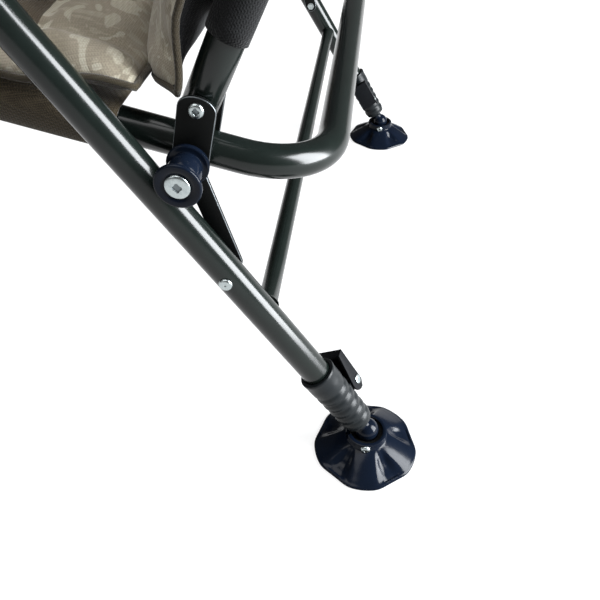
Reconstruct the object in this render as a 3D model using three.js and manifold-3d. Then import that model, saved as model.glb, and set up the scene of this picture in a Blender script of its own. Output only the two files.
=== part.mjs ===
// Folding carp fishing chair with arms, in millimetres, +Z up.
// The chair faces -Y and its left side is +X. Sizes are worked out from the ground, midway
// between the ball joints of the two rear feet; at the end the whole chair is set down with
// the middle of its base on the origin.

import * as THREE from 'three';
import { mergeVertices } from 'three/addons/utils/BufferGeometryUtils.js';
import Module from 'manifold-3d';

const wasm = await Module();
wasm.setup();

const degree = Math.PI / 180;

// Clearances
const gap = 0.3;
const pinClearance = 0.4;
const slideClearance = 0.6;
const overrun = 2;

// How finely round shapes are cut
const tubeSides = 16;
const pinSides = 8;
const bendStations = 5;
const turnedSteps = 6;
const flatCurve = 4;

// Main tubing
const tube = { radius: 12.5, wall: 1.6, bendRadius: 62, capExtra: 13 };

// Where the chair stands
const rearFootTrack = 620.5;
const ballHeight = 28;
const rearLegAngle = 58 * degree;

// Seat frame: a closed tube ring that slopes down to the rear
const seat = {
  tilt: 14 * degree,
  heightOverFeet: 268.5,
  length: 572,
  legOffset: 32.75,
  bracketFromRearBar: 94.8,
};

// Rear bracket: two plates that straddle the rail and hold the backrest post between them
const plate = { width: 26, thickness: 3, postPivotOverRail: 33.6, stopBelowRail: 4 };

// Backrest frame
const back = {
  recline: 26.8 * degree,
  length: 545,
  stubBelowPivot: 9,
  armPivotUp: 240,
  armPivotBehind: 25,
  lugThickness: 3.4,
  lugRadius: 9,
};

// Spool that the rear leg leans on when the chair is open
const spool = { waist: 13.7, rimRadius: 16.2, backRimRadius: 15.5, rimThickness: 3.2,
  backRimThickness: 2.2, length: 30.8, boreClearance: 0.4 };

// Link from the spool bolt down to the rivet on the leg
const link = { thickness: 3, width: 15.4, rivetBelowStop: 84.7 };

// Fasteners
const stopBolt = { radius: 4, headRadius: 8.8, headHeight: 3.2, nutRadius: 7.4, nutHeight: 6 };
const postBolt = { radius: 3, headRadius: 5.4, headHeight: 2.8, nutRadius: 5.8, nutHeight: 5 };
const rivet = { radius: 3, headRadius: 5.3, headHeight: 2.4, backRadius: 5.3, backHeight: 2.2 };
const armBolt = { radius: 3, headRadius: 6.4, headHeight: 3, bushRadius: 7 };
const frontBolt = { radius: 4, headRadius: 7, headHeight: 3.4, nutRadius: 7.4, nutHeight: 6 };
// Shares of a fastener's head radius and height at which its round top begins and ends
const headShares = { crown: 0.55, shoulder: 0.88, shoulderHeight: 0.6 };
const screw = { radius: 1.7, headRadius: 4.6, headHeight: 2.4, length: 5 };
const leverPin = { radius: 2, headRadius: 4.2, headHeight: 0.9 };

// Rear leg: it rises to the front of the arm and turns back along it
const arm = { rise: 7 * degree, bendRadius: 45, endPastPivot: 13 };
const armPad = { halfWidth: 16.6, halfHeight: 18.5, length: 204, fromPivot: 36, crown: 2 };
const rearBrace = { radius: 8, belowRivet: 48 };

// Front legs: a pair that folds back under the seat
const front = {
  pivotFromFrontBar: 76,
  pivotBelowRail: 34,
  splay: 29 * degree,
  braceUpLeg: 165,
  braceRadius: 8,
  hingeWidth: 26,
  hingeThickness: 3,
};

// Foot end, along the leg from the ball's centre
const leg = { outerFrom: 34, insertTo: 152, ballRadius: 11.2, neckRadius: 6.8, neckFrom: 8.6, neckTo: 13,
  shoulderAt: 16.5 };
const sleeve = { from: 18, to: 91, radiusLow: 14.6, radiusHigh: 16.2, ribDepth: 0.9, ribs: 5, ribsTo: 68 };
const lug = { along: 47.8, out: 22.2, radius: 3.5, halfWidth: 9.4, inBy: 13.5 };
const lever = { to: 82, outLow: 27.4, outHigh: 30.7, plate: 2, side: 2, halfWidth: 12, heelRadius: 10,
  heelFrom: 165 * degree, heelTo: 270 * degree, endWall: 3, endReach: 22.6, flankTip: 8.1,
  swungInward: 80 * degree };

// Mud foot: a dish of broad lobes with flutes sunk between them, and a raised ring round the
// ball's cup. A flute widens from the hub to the rim by its shares of the pitch.
const foot = { radius: 48.6, baseRadius: 45.4, rim: 3.4, lobes: 5, lobeDepth: 1.3, fluteDepth: 4.2,
  hubRadius: 23.6, hubHeight: 16.4, ringRadius: 18.9, ringTop: 27.6, ringWall: 3.6, floor: 24,
  cupClearance: 0.5, screwHeight: 22.6, facetsPerLobe: 6 };
const fluteShares = { atHub: 0.5, atRim: 0.75 };

// Fabric. A cushion's crown and its panels are powers of waves, so the powers set how full
// the edge is and how square each corner is. The shares tell where its grid lines lie in a panel.
const wavePower = { dome: 4, corner: 10 };
const panelShares = [0.06, 0.28, 0.72, 0.94, 1];
const sling = { thickness: 2, sleeveClearance: 0.6, fromRearBar: 148, frontMargin: 96, wrapTo: -80 * degree };
const backSling = { thickness: 2.2, from: 20, topMargin: 16, sideMargin: 6 };
const seatCushion = { insideLegs: 12.25, edge: 31, crown: 17, from: 135, frontOver: 6, drawIn: 2.4,
  seamDepth: 8, sidePanel: 17.5, seamShares: [0.16, 0.8], clearance: 0.5, cornerShare: 0.05 };
const backCushion = { insidePads: 12.65, edge: 27, crown: 18, from: 2, topOver: 10, drawIn: 2.4,
  seamDepth: 8, sidePanel: 17.5, seamShares: [0.225, 0.53, 0.835], clearance: 0.5,
  cornerShare: 0.05 };

// Places worked out from the sizes above
const legPlane = rearFootTrack / 2;
const railPlane = legPlane - seat.legOffset;
const frontLegPlane = railPlane - seat.legOffset;

// The seat slides along its slope until the spool's waist meets the leg
const stopOffLeg = spool.waist + tube.radius + gap;
const legToSeat = rearLegAngle - seat.tilt;
const bracketStation = (stopOffLeg + plate.stopBelowRail * Math.cos(legToSeat)
  - (seat.heightOverFeet - ballHeight) * Math.cos(rearLegAngle)) / Math.sin(legToSeat);
const rearBar = bracketStation + seat.bracketFromRearBar;
const frontBar = rearBar - seat.length;
const frontPivotStation = frontBar + front.pivotFromFrontBar;

// A point given along and above the rail's line, as a world point (y, z)
function onSeat(along, above) {
  const c = Math.cos(seat.tilt);
  const s = Math.sin(seat.tilt);
  return { y: along * c + above * s, z: seat.heightOverFeet - along * s + above * c };
}

const stopAxis = onSeat(bracketStation, -plate.stopBelowRail);
const postPivot = onSeat(bracketStation, plate.postPivotOverRail);
const rearLegDirection = { y: -Math.cos(rearLegAngle), z: Math.sin(rearLegAngle) };

function onRearLeg(up) {
  return { y: rearLegDirection.y * up, z: ballHeight + rearLegDirection.z * up };
}

const stopUpLeg = stopAxis.y * rearLegDirection.y + (stopAxis.z - ballHeight) * rearLegDirection.z;
const rivetUpLeg = stopUpLeg - link.rivetBelowStop;
const rivetPoint = onRearLeg(rivetUpLeg);
const armPivot = {
  y: postPivot.y + back.armPivotUp * Math.sin(back.recline) + back.armPivotBehind * Math.cos(back.recline),
  z: postPivot.z + back.armPivotUp * Math.cos(back.recline) - back.armPivotBehind * Math.sin(back.recline),
};

// Distance up the rear leg at which its line meets the arm's line
const armCorner = (() => {
  const c = Math.cos(arm.rise);
  const s = Math.sin(arm.rise);
  const across = armPivot.y * s + (armPivot.z - ballHeight) * c;
  return across / (rearLegDirection.y * s + rearLegDirection.z * c);
})();

const frontPivot = onSeat(frontPivotStation, -front.pivotBelowRail);
const frontLegLength = (frontPivot.z - ballHeight) / Math.cos(front.splay);
const frontBall = { y: frontPivot.y - frontLegLength * Math.sin(front.splay), z: ballHeight };

// Materials
function finish(color, roughness, metalness) {
  return new THREE.MeshStandardMaterial({ color, roughness, metalness });
}
const makeCoatedTube = () => finish(0x2a322d, 0.24, 0.5);
const makeBlackSteel = () => finish(0x0e0f10, 0.5, 0.4);
const makeZinc = () => finish(0xc6cacb, 0.3, 1);
const makeGlossPlastic = () => finish(0x171c26, 0.22, 0);
const makeSleeveRubber = () => finish(0x2c3033, 0.55, 0);
const makeLeverPlastic = () => finish(0x1d1e20, 0.5, 0);
const makeCamo = () => finish(0x8d8474, 0.95, 0);
const makeTwill = () => finish(0x4b4234, 0.95, 0);
const makeBlackCloth = () => finish(0x15161a, 0.95, 0);

// Solid helpers: manifold-3d only joins and cuts what three.js makes
function toSolid(geometry) {
  const bare = geometry.index ? geometry.toNonIndexed() : geometry.clone();
  bare.deleteAttribute('normal');
  bare.deleteAttribute('uv');
  const merged = mergeVertices(bare, 1e-4);
  const vertProperties = new Float32Array(merged.attributes.position.array);
  const triVerts = new Uint32Array(merged.index.array);
  return new wasm.Manifold(new wasm.Mesh({ numProp: 3, vertProperties, triVerts }));
}

function fromSolid(solid) {
  const mesh = solid.getMesh();
  const geometry = new THREE.BufferGeometry();
  geometry.setAttribute('position', new THREE.BufferAttribute(new Float32Array(mesh.vertProperties), 3));
  geometry.setIndex(new THREE.BufferAttribute(new Uint32Array(mesh.triVerts), 1));
  geometry.computeVertexNormals();
  return geometry;
}

function cut(geometry, ...tools) {
  let solid = toSolid(geometry);
  for (const tool of tools) solid = solid.subtract(toSolid(tool));
  return fromSolid(solid);
}

function join(...geometries) {
  let solid = toSolid(geometries[0]);
  for (const other of geometries.slice(1)) solid = solid.add(toSolid(other));
  return fromSolid(solid);
}

// A path of straight runs and round bends; the sections stand only where the path starts,
// ends or bends
class BentLine extends THREE.Curve {
  constructor(corners, bendRadius) {
    super();
    this.stations = [];
    corners.forEach((corner, i) => {
      if (i === 0 || i === corners.length - 1) {
        const other = i === 0 ? corners[1] : corners[i - 1];
        const tangent = i === 0 ? other.clone().sub(corner) : corner.clone().sub(other);
        this.stations.push({ point: corner.clone(), tangent: tangent.normalize() });
        return;
      }
      const before = corner.clone().sub(corners[i - 1]).normalize();
      const after = corners[i + 1].clone().sub(corner).normalize();
      const turn = before.angleTo(after);
      const setBack = bendRadius * Math.tan(turn / 2);
      const start = corner.clone().addScaledVector(before, -setBack);
      const inward = after.clone().addScaledVector(before, -before.dot(after)).normalize();
      const centre = start.clone().addScaledVector(inward, bendRadius);
      for (let k = 0; k <= bendStations; k += 1) {
        const a = (turn * k) / bendStations;
        const point = centre.clone()
          .addScaledVector(inward, -bendRadius * Math.cos(a))
          .addScaledVector(before, bendRadius * Math.sin(a));
        const tangent = before.clone().multiplyScalar(Math.cos(a)).addScaledVector(inward, Math.sin(a));
        this.stations.push({ point, tangent });
      }
    });
  }

  get steps() { return this.stations.length - 1; }

  station(u) { return this.stations[Math.round(u * this.steps)]; }

  getPointAt(u) { return this.station(u).point.clone(); }

  getTangentAt(u) { return this.station(u).tangent.clone(); }
}

function disc(radius) {
  const shape = new THREE.Shape();
  shape.absarc(0, 0, radius, 0, 2 * Math.PI, false);
  return shape;
}

function bentTube(corners, radius, bendRadius) {
  const path = new BentLine(corners, bendRadius);
  return new THREE.ExtrudeGeometry(disc(radius),
    { extrudePath: path, steps: path.steps, curveSegments: tubeSides / 2 });
}

// The inside of a tube, running out past both its ends
function tubeBore(corners, bendRadius) {
  const ends = corners.map((corner) => corner.clone());
  const last = ends.length - 1;
  ends[0].addScaledVector(corners[0].clone().sub(corners[1]).normalize(), overrun);
  ends[last].addScaledVector(corners[last].clone().sub(corners[last - 1]).normalize(), overrun);
  return bentTube(ends, tube.radius - tube.wall, bendRadius);
}

// A rod along X between two places
function rodX(radius, x0, x1, y, z, sides = pinSides) {
  const geometry = new THREE.CylinderGeometry(radius, radius, Math.abs(x1 - x0), sides);
  geometry.rotateZ(Math.PI / 2);
  geometry.translate((x0 + x1) / 2, y, z);
  return geometry;
}

// A turned piece about X: each point is how far along X it lies and its radius
function turnedX(profile, y, z, sides = tubeSides) {
  const geometry = new THREE.LatheGeometry(profile.map(([x, r]) => new THREE.Vector2(r, x)), sides);
  geometry.rotateZ(-Math.PI / 2);
  geometry.translate(0, y, z);
  return geometry;
}

// A turned piece about Z: each point is a radius and a height
function turnedZ(profile, sides = tubeSides) {
  const geometry = new THREE.LatheGeometry(profile.map(([r, h]) => new THREE.Vector2(r, h)), sides);
  geometry.rotateX(Math.PI / 2);
  return geometry;
}

// A flat bar with round ends between two (y, z) points, standing in the side plane
function strap(a, b, width, x0, x1, holes) {
  const direction = Math.atan2(b.z - a.z, b.y - a.y);
  const shape = new THREE.Shape();
  shape.absarc(b.y, b.z, width / 2, direction - Math.PI / 2, direction + Math.PI / 2, false);
  shape.absarc(a.y, a.z, width / 2, direction + Math.PI / 2, direction + 1.5 * Math.PI, false);
  for (const hole of holes) {
    const round = new THREE.Path();
    round.absarc(hole.y, hole.z, hole.radius, 0, 2 * Math.PI, true);
    shape.holes.push(round);
  }
  return alongX(shape, x0, x1);
}

// A shape drawn in (y, z), made solid between two places along X
function alongX(shape, x0, x1) {
  const geometry = new THREE.ExtrudeGeometry(shape,
    { depth: Math.abs(x1 - x0), bevelEnabled: false, curveSegments: flatCurve });
  geometry.rotateX(Math.PI / 2);
  geometry.rotateZ(Math.PI / 2);
  geometry.translate(Math.min(x0, x1), 0, 0);
  return geometry;
}

// A fastener along X: rounded head at x0, shank to x1, then a nut or a formed end
function fastenerX(side, spec, headAt, shankTo, y, z, end) {
  const along = Math.sign(shankTo - headAt);
  const profile = [
    [headAt - along * spec.headHeight, 0],
    [headAt - along * spec.headHeight, spec.headRadius * headShares.crown],
    [headAt - along * spec.headHeight * headShares.shoulderHeight, spec.headRadius * headShares.shoulder],
    [headAt, spec.headRadius],
    [headAt, spec.radius],
  ];
  if (end) profile.push([shankTo, spec.radius], [shankTo, end.radius],
    [shankTo + along * end.height, end.radius], [shankTo + along * end.height, 0]);
  else profile.push([shankTo, spec.radius], [shankTo, 0]);
  const placed = profile.map(([x, r]) => [x * side, r]);
  return turnedX(along * side > 0 ? placed : placed.reverse(), y, z, pinSides);
}

// Parts
const chair = new THREE.Group();

function addMesh(parent, name, geometry, material) {
  const mesh = new THREE.Mesh(geometry, material);
  mesh.name = name;
  parent.add(mesh);
  return mesh;
}

function frameGroup(y, z, turn) {
  const group = new THREE.Group();
  group.position.set(0, y, z);
  group.rotation.x = turn;
  chair.add(group);
  return group;
}

const sides = [{ side: 1, label: 'left' }, { side: -1, label: 'right' }];
const v3 = (x, y, z) => new THREE.Vector3(x, y, z);

// Seat frame, built flat and tilted; each bolt hole runs across the rail
function makeSeatFrame() {
  const middle = (rearBar + frontBar) / 2;
  const halves = [rearBar, frontBar].map((end) => [
    v3(railPlane, middle + Math.sign(middle - end) * overrun, 0),
    v3(railPlane, end, 0),
    v3(-railPlane, end, 0),
    v3(-railPlane, middle + Math.sign(middle - end) * overrun, 0),
  ]);
  const ring = join(...halves.map((corners) => bentTube(corners, tube.radius, tube.bendRadius)));
  const reach = railPlane + tube.radius + overrun;
  const hole = rodX(stopBolt.radius + pinClearance, -reach, reach, bracketStation, -plate.stopBelowRail);
  return cut(ring, ...halves.map((corners) => tubeBore(corners, tube.bendRadius)), hole);
}

const seatGroup = frameGroup(0, seat.heightOverFeet, -seat.tilt);
addMesh(seatGroup, 'seat_frame', makeSeatFrame(), makeCoatedTube());

// Seat sling: one cloth over both rails, wrapped round their outer side
function makeSeatSling() {
  const inner = tube.radius + sling.sleeveClearance;
  const outer = inner + sling.thickness;
  const shape = new THREE.Shape();
  shape.moveTo(railPlane, outer);
  shape.lineTo(-railPlane, outer);
  shape.absarc(-railPlane, 0, outer, Math.PI / 2, Math.PI - sling.wrapTo, false);
  shape.absarc(-railPlane, 0, inner, Math.PI - sling.wrapTo, Math.PI / 2, true);
  shape.lineTo(railPlane, inner);
  shape.absarc(railPlane, 0, inner, Math.PI / 2, sling.wrapTo, true);
  shape.absarc(railPlane, 0, outer, sling.wrapTo, Math.PI / 2, false);
  const length = seat.length - sling.fromRearBar - sling.frontMargin;
  const geometry = new THREE.ExtrudeGeometry(shape,
    { depth: length, bevelEnabled: false, curveSegments: tubeSides / 2 });
  geometry.rotateX(Math.PI / 2);
  geometry.translate(0, rearBar - sling.fromRearBar, 0);
  return geometry;
}
addMesh(seatGroup, 'seat_sling', makeSeatSling(), makeTwill());

// Grid lines along one side of a cushion, as shares of it, with how far each stands off a seam
function gridLines(seams) {
  const dome = (share) => Math.sqrt(Math.max(0, 1 - (2 * share - 1) ** wavePower.dome));
  const lines = [{ share: 0, crown: 0, pillow: 0 }];
  const stops = [0, ...seams, 1];
  for (let k = 1; k < stops.length; k += 1) {
    for (const panelShare of panelShares) {
      const share = stops[k - 1] + (stops[k] - stops[k - 1]) * panelShare;
      lines.push({ share, crown: dome(share), pillow: dome(panelShare) });
    }
  }
  return lines;
}

// A cushion: a crowned top of sewn panels, with the sides drawn in above and below mid height.
// It lies on z = 0 and runs from y = 0 to y = -length.
function makeCushion(spec, halfWidth, length) {
  const sideShare = spec.sidePanel / (2 * halfWidth);
  const acrossLines = gridLines([sideShare, 1 - sideShare]);
  const alongLines = gridLines(spec.seamShares);
  const across = acrossLines.length - 1;
  const along = alongLines.length - 1;
  const points = [];
  const index = [];
  const at = (i, j, z, inset) => {
    const [u, v] = [2 * acrossLines[i].share - 1, 2 * alongLines[j].share - 1];
    const corner = 1 - spec.cornerShare * Math.abs(u * v) ** wavePower.corner;
    points.push(u * (halfWidth - inset) * corner, -length / 2 - v * (length / 2 - inset) * corner, z);
    return points.length / 3 - 1;
  };
  const top = (i, j) => {
    const crown = acrossLines[i].crown * alongLines[j].crown;
    const dip = 1 - acrossLines[i].pillow * alongLines[j].pillow;
    return spec.edge + crown * (spec.crown - spec.seamDepth * dip);
  };
  const upper = [];
  for (let j = 0; j <= along; j += 1) {
    for (let i = 0; i <= across; i += 1) upper.push(at(i, j, top(i, j), spec.drawIn));
  }
  const cell = (i, j) => j * (across + 1) + i;
  for (let j = 0; j < along; j += 1) {
    for (let i = 0; i < across; i += 1) {
      const [a, b, c, d] = [cell(i, j), cell(i + 1, j), cell(i + 1, j + 1), cell(i, j + 1)];
      index.push(upper[a], upper[c], upper[b], upper[a], upper[d], upper[c]);
    }
  }
  const border = [];
  for (let i = 0; i < across; i += 1) border.push([i, 0]);
  for (let j = 0; j < along; j += 1) border.push([across, j]);
  for (let i = across; i > 0; i -= 1) border.push([i, along]);
  for (let j = along; j > 0; j -= 1) border.push([0, j]);
  const waist = border.map(([i, j]) => at(i, j, spec.edge / 2, 0));
  const lower = border.map(([i, j]) => at(i, j, 0, spec.drawIn));
  points.push(0, -length / 2, 0);
  const underside = points.length / 3 - 1;
  border.forEach(([i, j], k) => {
    const n = (k + 1) % border.length;
    const [u0, u1] = [upper[cell(i, j)], upper[cell(...border[n])]];
    index.push(u0, u1, waist[n], u0, waist[n], waist[k]);
    index.push(waist[k], waist[n], lower[n], waist[k], lower[n], lower[k]);
    index.push(underside, lower[k], lower[n]);
  });
  const geometry = new THREE.BufferGeometry();
  geometry.setAttribute('position', new THREE.Float32BufferAttribute(points, 3));
  geometry.setIndex(index);
  geometry.computeVertexNormals();
  return geometry;
}

function makeSeatCushion() {
  const length = seat.length + tube.radius + seatCushion.frontOver - seatCushion.from;
  const halfWidth = legPlane - tube.radius - seatCushion.insideLegs;
  const geometry = makeCushion(seatCushion, halfWidth, length);
  const slingTop = tube.radius + sling.sleeveClearance + sling.thickness;
  geometry.translate(0, rearBar - seatCushion.from, slingTop + seatCushion.clearance);
  return geometry;
}
addMesh(seatGroup, 'seat_cushion', makeSeatCushion(), makeCamo());

// Rear bracket, stop and link, with the bolts that hold them
const railInner = railPlane - tube.radius - gap;
const railOuter = railPlane + tube.radius + gap;
const plateOuterFace = railOuter + plate.thickness;
const plateInnerFace = railInner - plate.thickness;
const linkInnerFace = plateOuterFace + gap;
const linkOuterFace = linkInnerFace + link.thickness;
const spoolFrom = linkOuterFace + gap;
const spoolTo = spoolFrom + spool.length;

const postHole = { y: postPivot.y, z: postPivot.z, radius: postBolt.radius + pinClearance };
const stopHole = { y: stopAxis.y, z: stopAxis.z, radius: stopBolt.radius + pinClearance };
const rivetHole = { y: rivetPoint.y, z: rivetPoint.z, radius: rivet.radius + pinClearance };

// The spool's groove follows the leg that leans in it
function makeSpool(side) {
  const bore = stopBolt.radius + spool.boreClearance;
  const groove = [];
  const from = spoolFrom + spool.backRimThickness;
  const to = spoolTo - spool.rimThickness;
  for (let k = 0; k <= turnedSteps; k += 1) {
    const x = from + ((to - from) * k) / turnedSteps;
    const off = Math.min(Math.abs(x - legPlane), tube.radius);
    const reach = tube.radius - Math.sqrt(tube.radius ** 2 - off ** 2);
    const rim = x > legPlane ? spool.rimRadius : spool.backRimRadius;
    groove.push([x, Math.min(spool.waist + reach, rim - gap)]);
  }
  const profile = [
    [spoolFrom, bore],
    [spoolFrom, spool.backRimRadius],
    [from, spool.backRimRadius],
    ...groove,
    [to, spool.rimRadius],
    [spoolTo, spool.rimRadius],
    [spoolTo, bore],
    [spoolFrom, bore],
  ].map(([x, r]) => [x * side, r]);
  return turnedX(side > 0 ? profile : profile.reverse(), stopAxis.y, stopAxis.z, tubeSides);
}

for (const { side, label } of sides) {
  const plateHoles = [postHole, stopHole];
  addMesh(chair, `bracket_plate_outer_${label}`,
    strap(stopAxis, postPivot, plate.width, side * railOuter, side * plateOuterFace, plateHoles),
    makeBlackSteel());
  addMesh(chair, `bracket_plate_inner_${label}`,
    strap(stopAxis, postPivot, plate.width, side * railInner, side * plateInnerFace, plateHoles),
    makeBlackSteel());
  addMesh(chair, `link_arm_${label}`,
    strap(rivetPoint, stopAxis, link.width, side * linkInnerFace, side * linkOuterFace,
      [stopHole, rivetHole]),
    makeBlackSteel());
  addMesh(chair, `stop_spool_${label}`, makeSpool(side), makeGlossPlastic());
  addMesh(chair, `stop_bolt_${label}`,
    fastenerX(side, stopBolt, spoolTo + gap, plateInnerFace - gap, stopAxis.y, stopAxis.z,
      { radius: stopBolt.nutRadius, height: stopBolt.nutHeight }),
    makeZinc());
  addMesh(chair, `post_bolt_${label}`,
    fastenerX(side, postBolt, plateOuterFace + gap, plateInnerFace - gap, postPivot.y, postPivot.z,
      { radius: postBolt.nutRadius, height: postBolt.nutHeight }),
    makeZinc());
}

// Backrest frame: two reclined posts joined by a round-cornered top bar, with arm lugs
const backGroup = frameGroup(postPivot.y, postPivot.z, -back.recline);
const lugOuterFace = railPlane + tube.radius;

function makeBackFrame() {
  const corners = [
    v3(railPlane, 0, -back.stubBelowPivot),
    v3(railPlane, 0, back.length),
    v3(-railPlane, 0, back.length),
    v3(-railPlane, 0, -back.stubBelowPivot),
  ];
  const hoop = bentTube(corners, tube.radius, tube.bendRadius);
  const root = { y: 0, z: back.armPivotUp };
  const tip = { y: back.armPivotBehind, z: back.armPivotUp };
  const lugs = sides.map(({ side }) =>
    strap(root, tip, back.lugRadius * 2, side * (lugOuterFace - back.lugThickness), side * lugOuterFace, []));
  const reach = railPlane + tube.radius + overrun;
  const hole = rodX(postBolt.radius + pinClearance, -reach, reach, 0, 0);
  return cut(join(hoop, ...lugs), tubeBore(corners, tube.bendRadius), hole);
}
addMesh(backGroup, 'backrest_frame', makeBackFrame(), makeCoatedTube());

function makeBackSling() {
  const shape = new THREE.Shape();
  const top = back.length - backSling.topMargin;
  const corner = tube.bendRadius;
  const halfWidth = railPlane + tube.radius - backSling.sideMargin;
  shape.moveTo(-halfWidth, backSling.from);
  shape.lineTo(halfWidth, backSling.from);
  shape.lineTo(halfWidth, top - corner);
  shape.absarc(halfWidth - corner, top - corner, corner, 0, Math.PI / 2, false);
  shape.absarc(corner - halfWidth, top - corner, corner, Math.PI / 2, Math.PI, false);
  const geometry = new THREE.ExtrudeGeometry(shape,
    { depth: backSling.thickness, bevelEnabled: false, curveSegments: flatCurve });
  geometry.rotateX(Math.PI / 2);
  geometry.translate(0, -tube.radius - gap, 0);
  return geometry;
}
addMesh(backGroup, 'backrest_sling', makeBackSling(), makeBlackCloth());

function makeBackCushion() {
  const length = back.length + tube.radius + backCushion.topOver - backCushion.from;
  const halfWidth = legPlane - armPad.halfWidth - backCushion.insidePads;
  const geometry = makeCushion(backCushion, halfWidth, length);
  geometry.rotateX(Math.PI / 2);
  geometry.rotateY(Math.PI);
  const face = tube.radius + gap + backSling.thickness + backCushion.clearance;
  geometry.translate(0, -face, backCushion.from);
  return geometry;
}
addMesh(backGroup, 'backrest_cushion', makeBackCushion(), makeCamo());

// The foot end of every leg, in the leg's own frame: z up the leg from the ball's centre,
// y to the side that the lever lies on
function makeInsert() {
  const r = tube.radius - tube.wall - slideClearance;
  const ball = [];
  const neckAngle = Math.acos(leg.neckFrom / leg.ballRadius);
  for (let k = 0; k <= turnedSteps; k += 1) {
    const a = Math.PI - ((Math.PI - neckAngle) * k) / turnedSteps;
    ball.push([k === 0 ? 0 : leg.ballRadius * Math.sin(a), leg.ballRadius * Math.cos(a)]);
  }
  return turnedZ([...ball, [leg.neckRadius, leg.neckTo], [r, leg.shoulderAt], [r, leg.insertTo],
    [0, leg.insertTo]]);
}

function makeSleeve() {
  const onTube = tube.radius + gap;
  const onInsert = tube.radius - tube.wall;
  const outside = [];
  const pitch = (sleeve.ribsTo - sleeve.from) / sleeve.ribs;
  const radiusAt = (z) => sleeve.radiusLow
    + ((sleeve.radiusHigh - sleeve.radiusLow) * (z - sleeve.from)) / (sleeve.to - sleeve.from);
  for (let k = 0; k < sleeve.ribs; k += 1) {
    const z = sleeve.from + k * pitch;
    outside.push([radiusAt(z) - sleeve.ribDepth, z], [radiusAt(z + pitch / 2), z + pitch / 2]);
  }
  outside.push([radiusAt(sleeve.ribsTo) - sleeve.ribDepth, sleeve.ribsTo]);
  const seatOfTube = leg.outerFrom - gap;
  const body = turnedZ([
    [onInsert, sleeve.from],
    ...outside,
    [sleeve.radiusHigh, sleeve.to],
    [onTube, sleeve.to],
    [onTube, seatOfTube],
    [onInsert, seatOfTube],
    [onInsert, sleeve.from],
  ]);
  const base = { y: lug.inBy, z: lug.along };
  const tip = { y: lug.out, z: lug.along };
  const ear = strap(base, tip, lug.radius * 2, -lug.halfWidth, lug.halfWidth, []);
  const pinHole = rodX(leverPin.radius + gap, -lug.halfWidth - overrun, lug.halfWidth + overrun,
    lug.out, lug.along);
  return cut(join(body, cut(ear, rodZ(onTube, seatOfTube, sleeve.to + overrun))), pinHole);
}

function rodZ(radius, z0, z1) {
  const geometry = new THREE.CylinderGeometry(radius, radius, z1 - z0, tubeSides);
  geometry.rotateX(Math.PI / 2);
  geometry.translate(0, 0, (z0 + z1) / 2);
  return geometry;
}

// Clamp lever: a shallow channel with a round heel on the pin and a lip at its far end
function makeLever() {
  const pin = { y: lug.out, z: lug.along };
  const side = new THREE.Shape();
  side.moveTo(lever.outHigh, lever.to);
  side.lineTo(lever.outHigh - lever.flankTip, lever.to);
  side.absarc(pin.y, pin.z, lever.heelRadius, lever.heelFrom, lever.heelTo, false);
  // The back plate stops short of the heel, so that it clears the sleeve when the lever is open
  const plateFoot = pin.z - (lug.out - sleeve.radiusHigh);
  side.lineTo(lever.outLow, plateFoot);
  const flanks = [-1, 1].map((s) =>
    alongX(side, s * (lever.halfWidth - lever.side), s * lever.halfWidth));
  const backPlate = new THREE.Shape();
  backPlate.moveTo(lever.outLow, plateFoot);
  backPlate.lineTo(lever.outHigh, lever.to);
  backPlate.lineTo(lever.outHigh - lever.plate, lever.to);
  backPlate.lineTo(lever.outLow - lever.plate, plateFoot);
  const plateSolid = alongX(backPlate, -lever.halfWidth, lever.halfWidth);
  const wall = new THREE.Shape();
  wall.moveTo(lever.endReach, lever.to - lever.endWall);
  wall.lineTo(lever.outHigh - lever.plate / 2, lever.to - lever.endWall);
  wall.lineTo(lever.outHigh, lever.to);
  wall.lineTo(lever.endReach, lever.to);
  const wallSolid = alongX(wall, -lever.halfWidth, lever.halfWidth);
  const pinHole = rodX(leverPin.radius + gap, -lever.halfWidth - overrun, lever.halfWidth + overrun,
    pin.y, pin.z);
  return cut(join(plateSolid, ...flanks, wallSolid), pinHole);
}

function makeLeverPin() {
  const end = { radius: leverPin.headRadius, height: leverPin.headHeight };
  const reach = lever.halfWidth + gap;
  return fastenerX(1, leverPin, reach, -reach, lug.out, lug.along, end);
}

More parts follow.
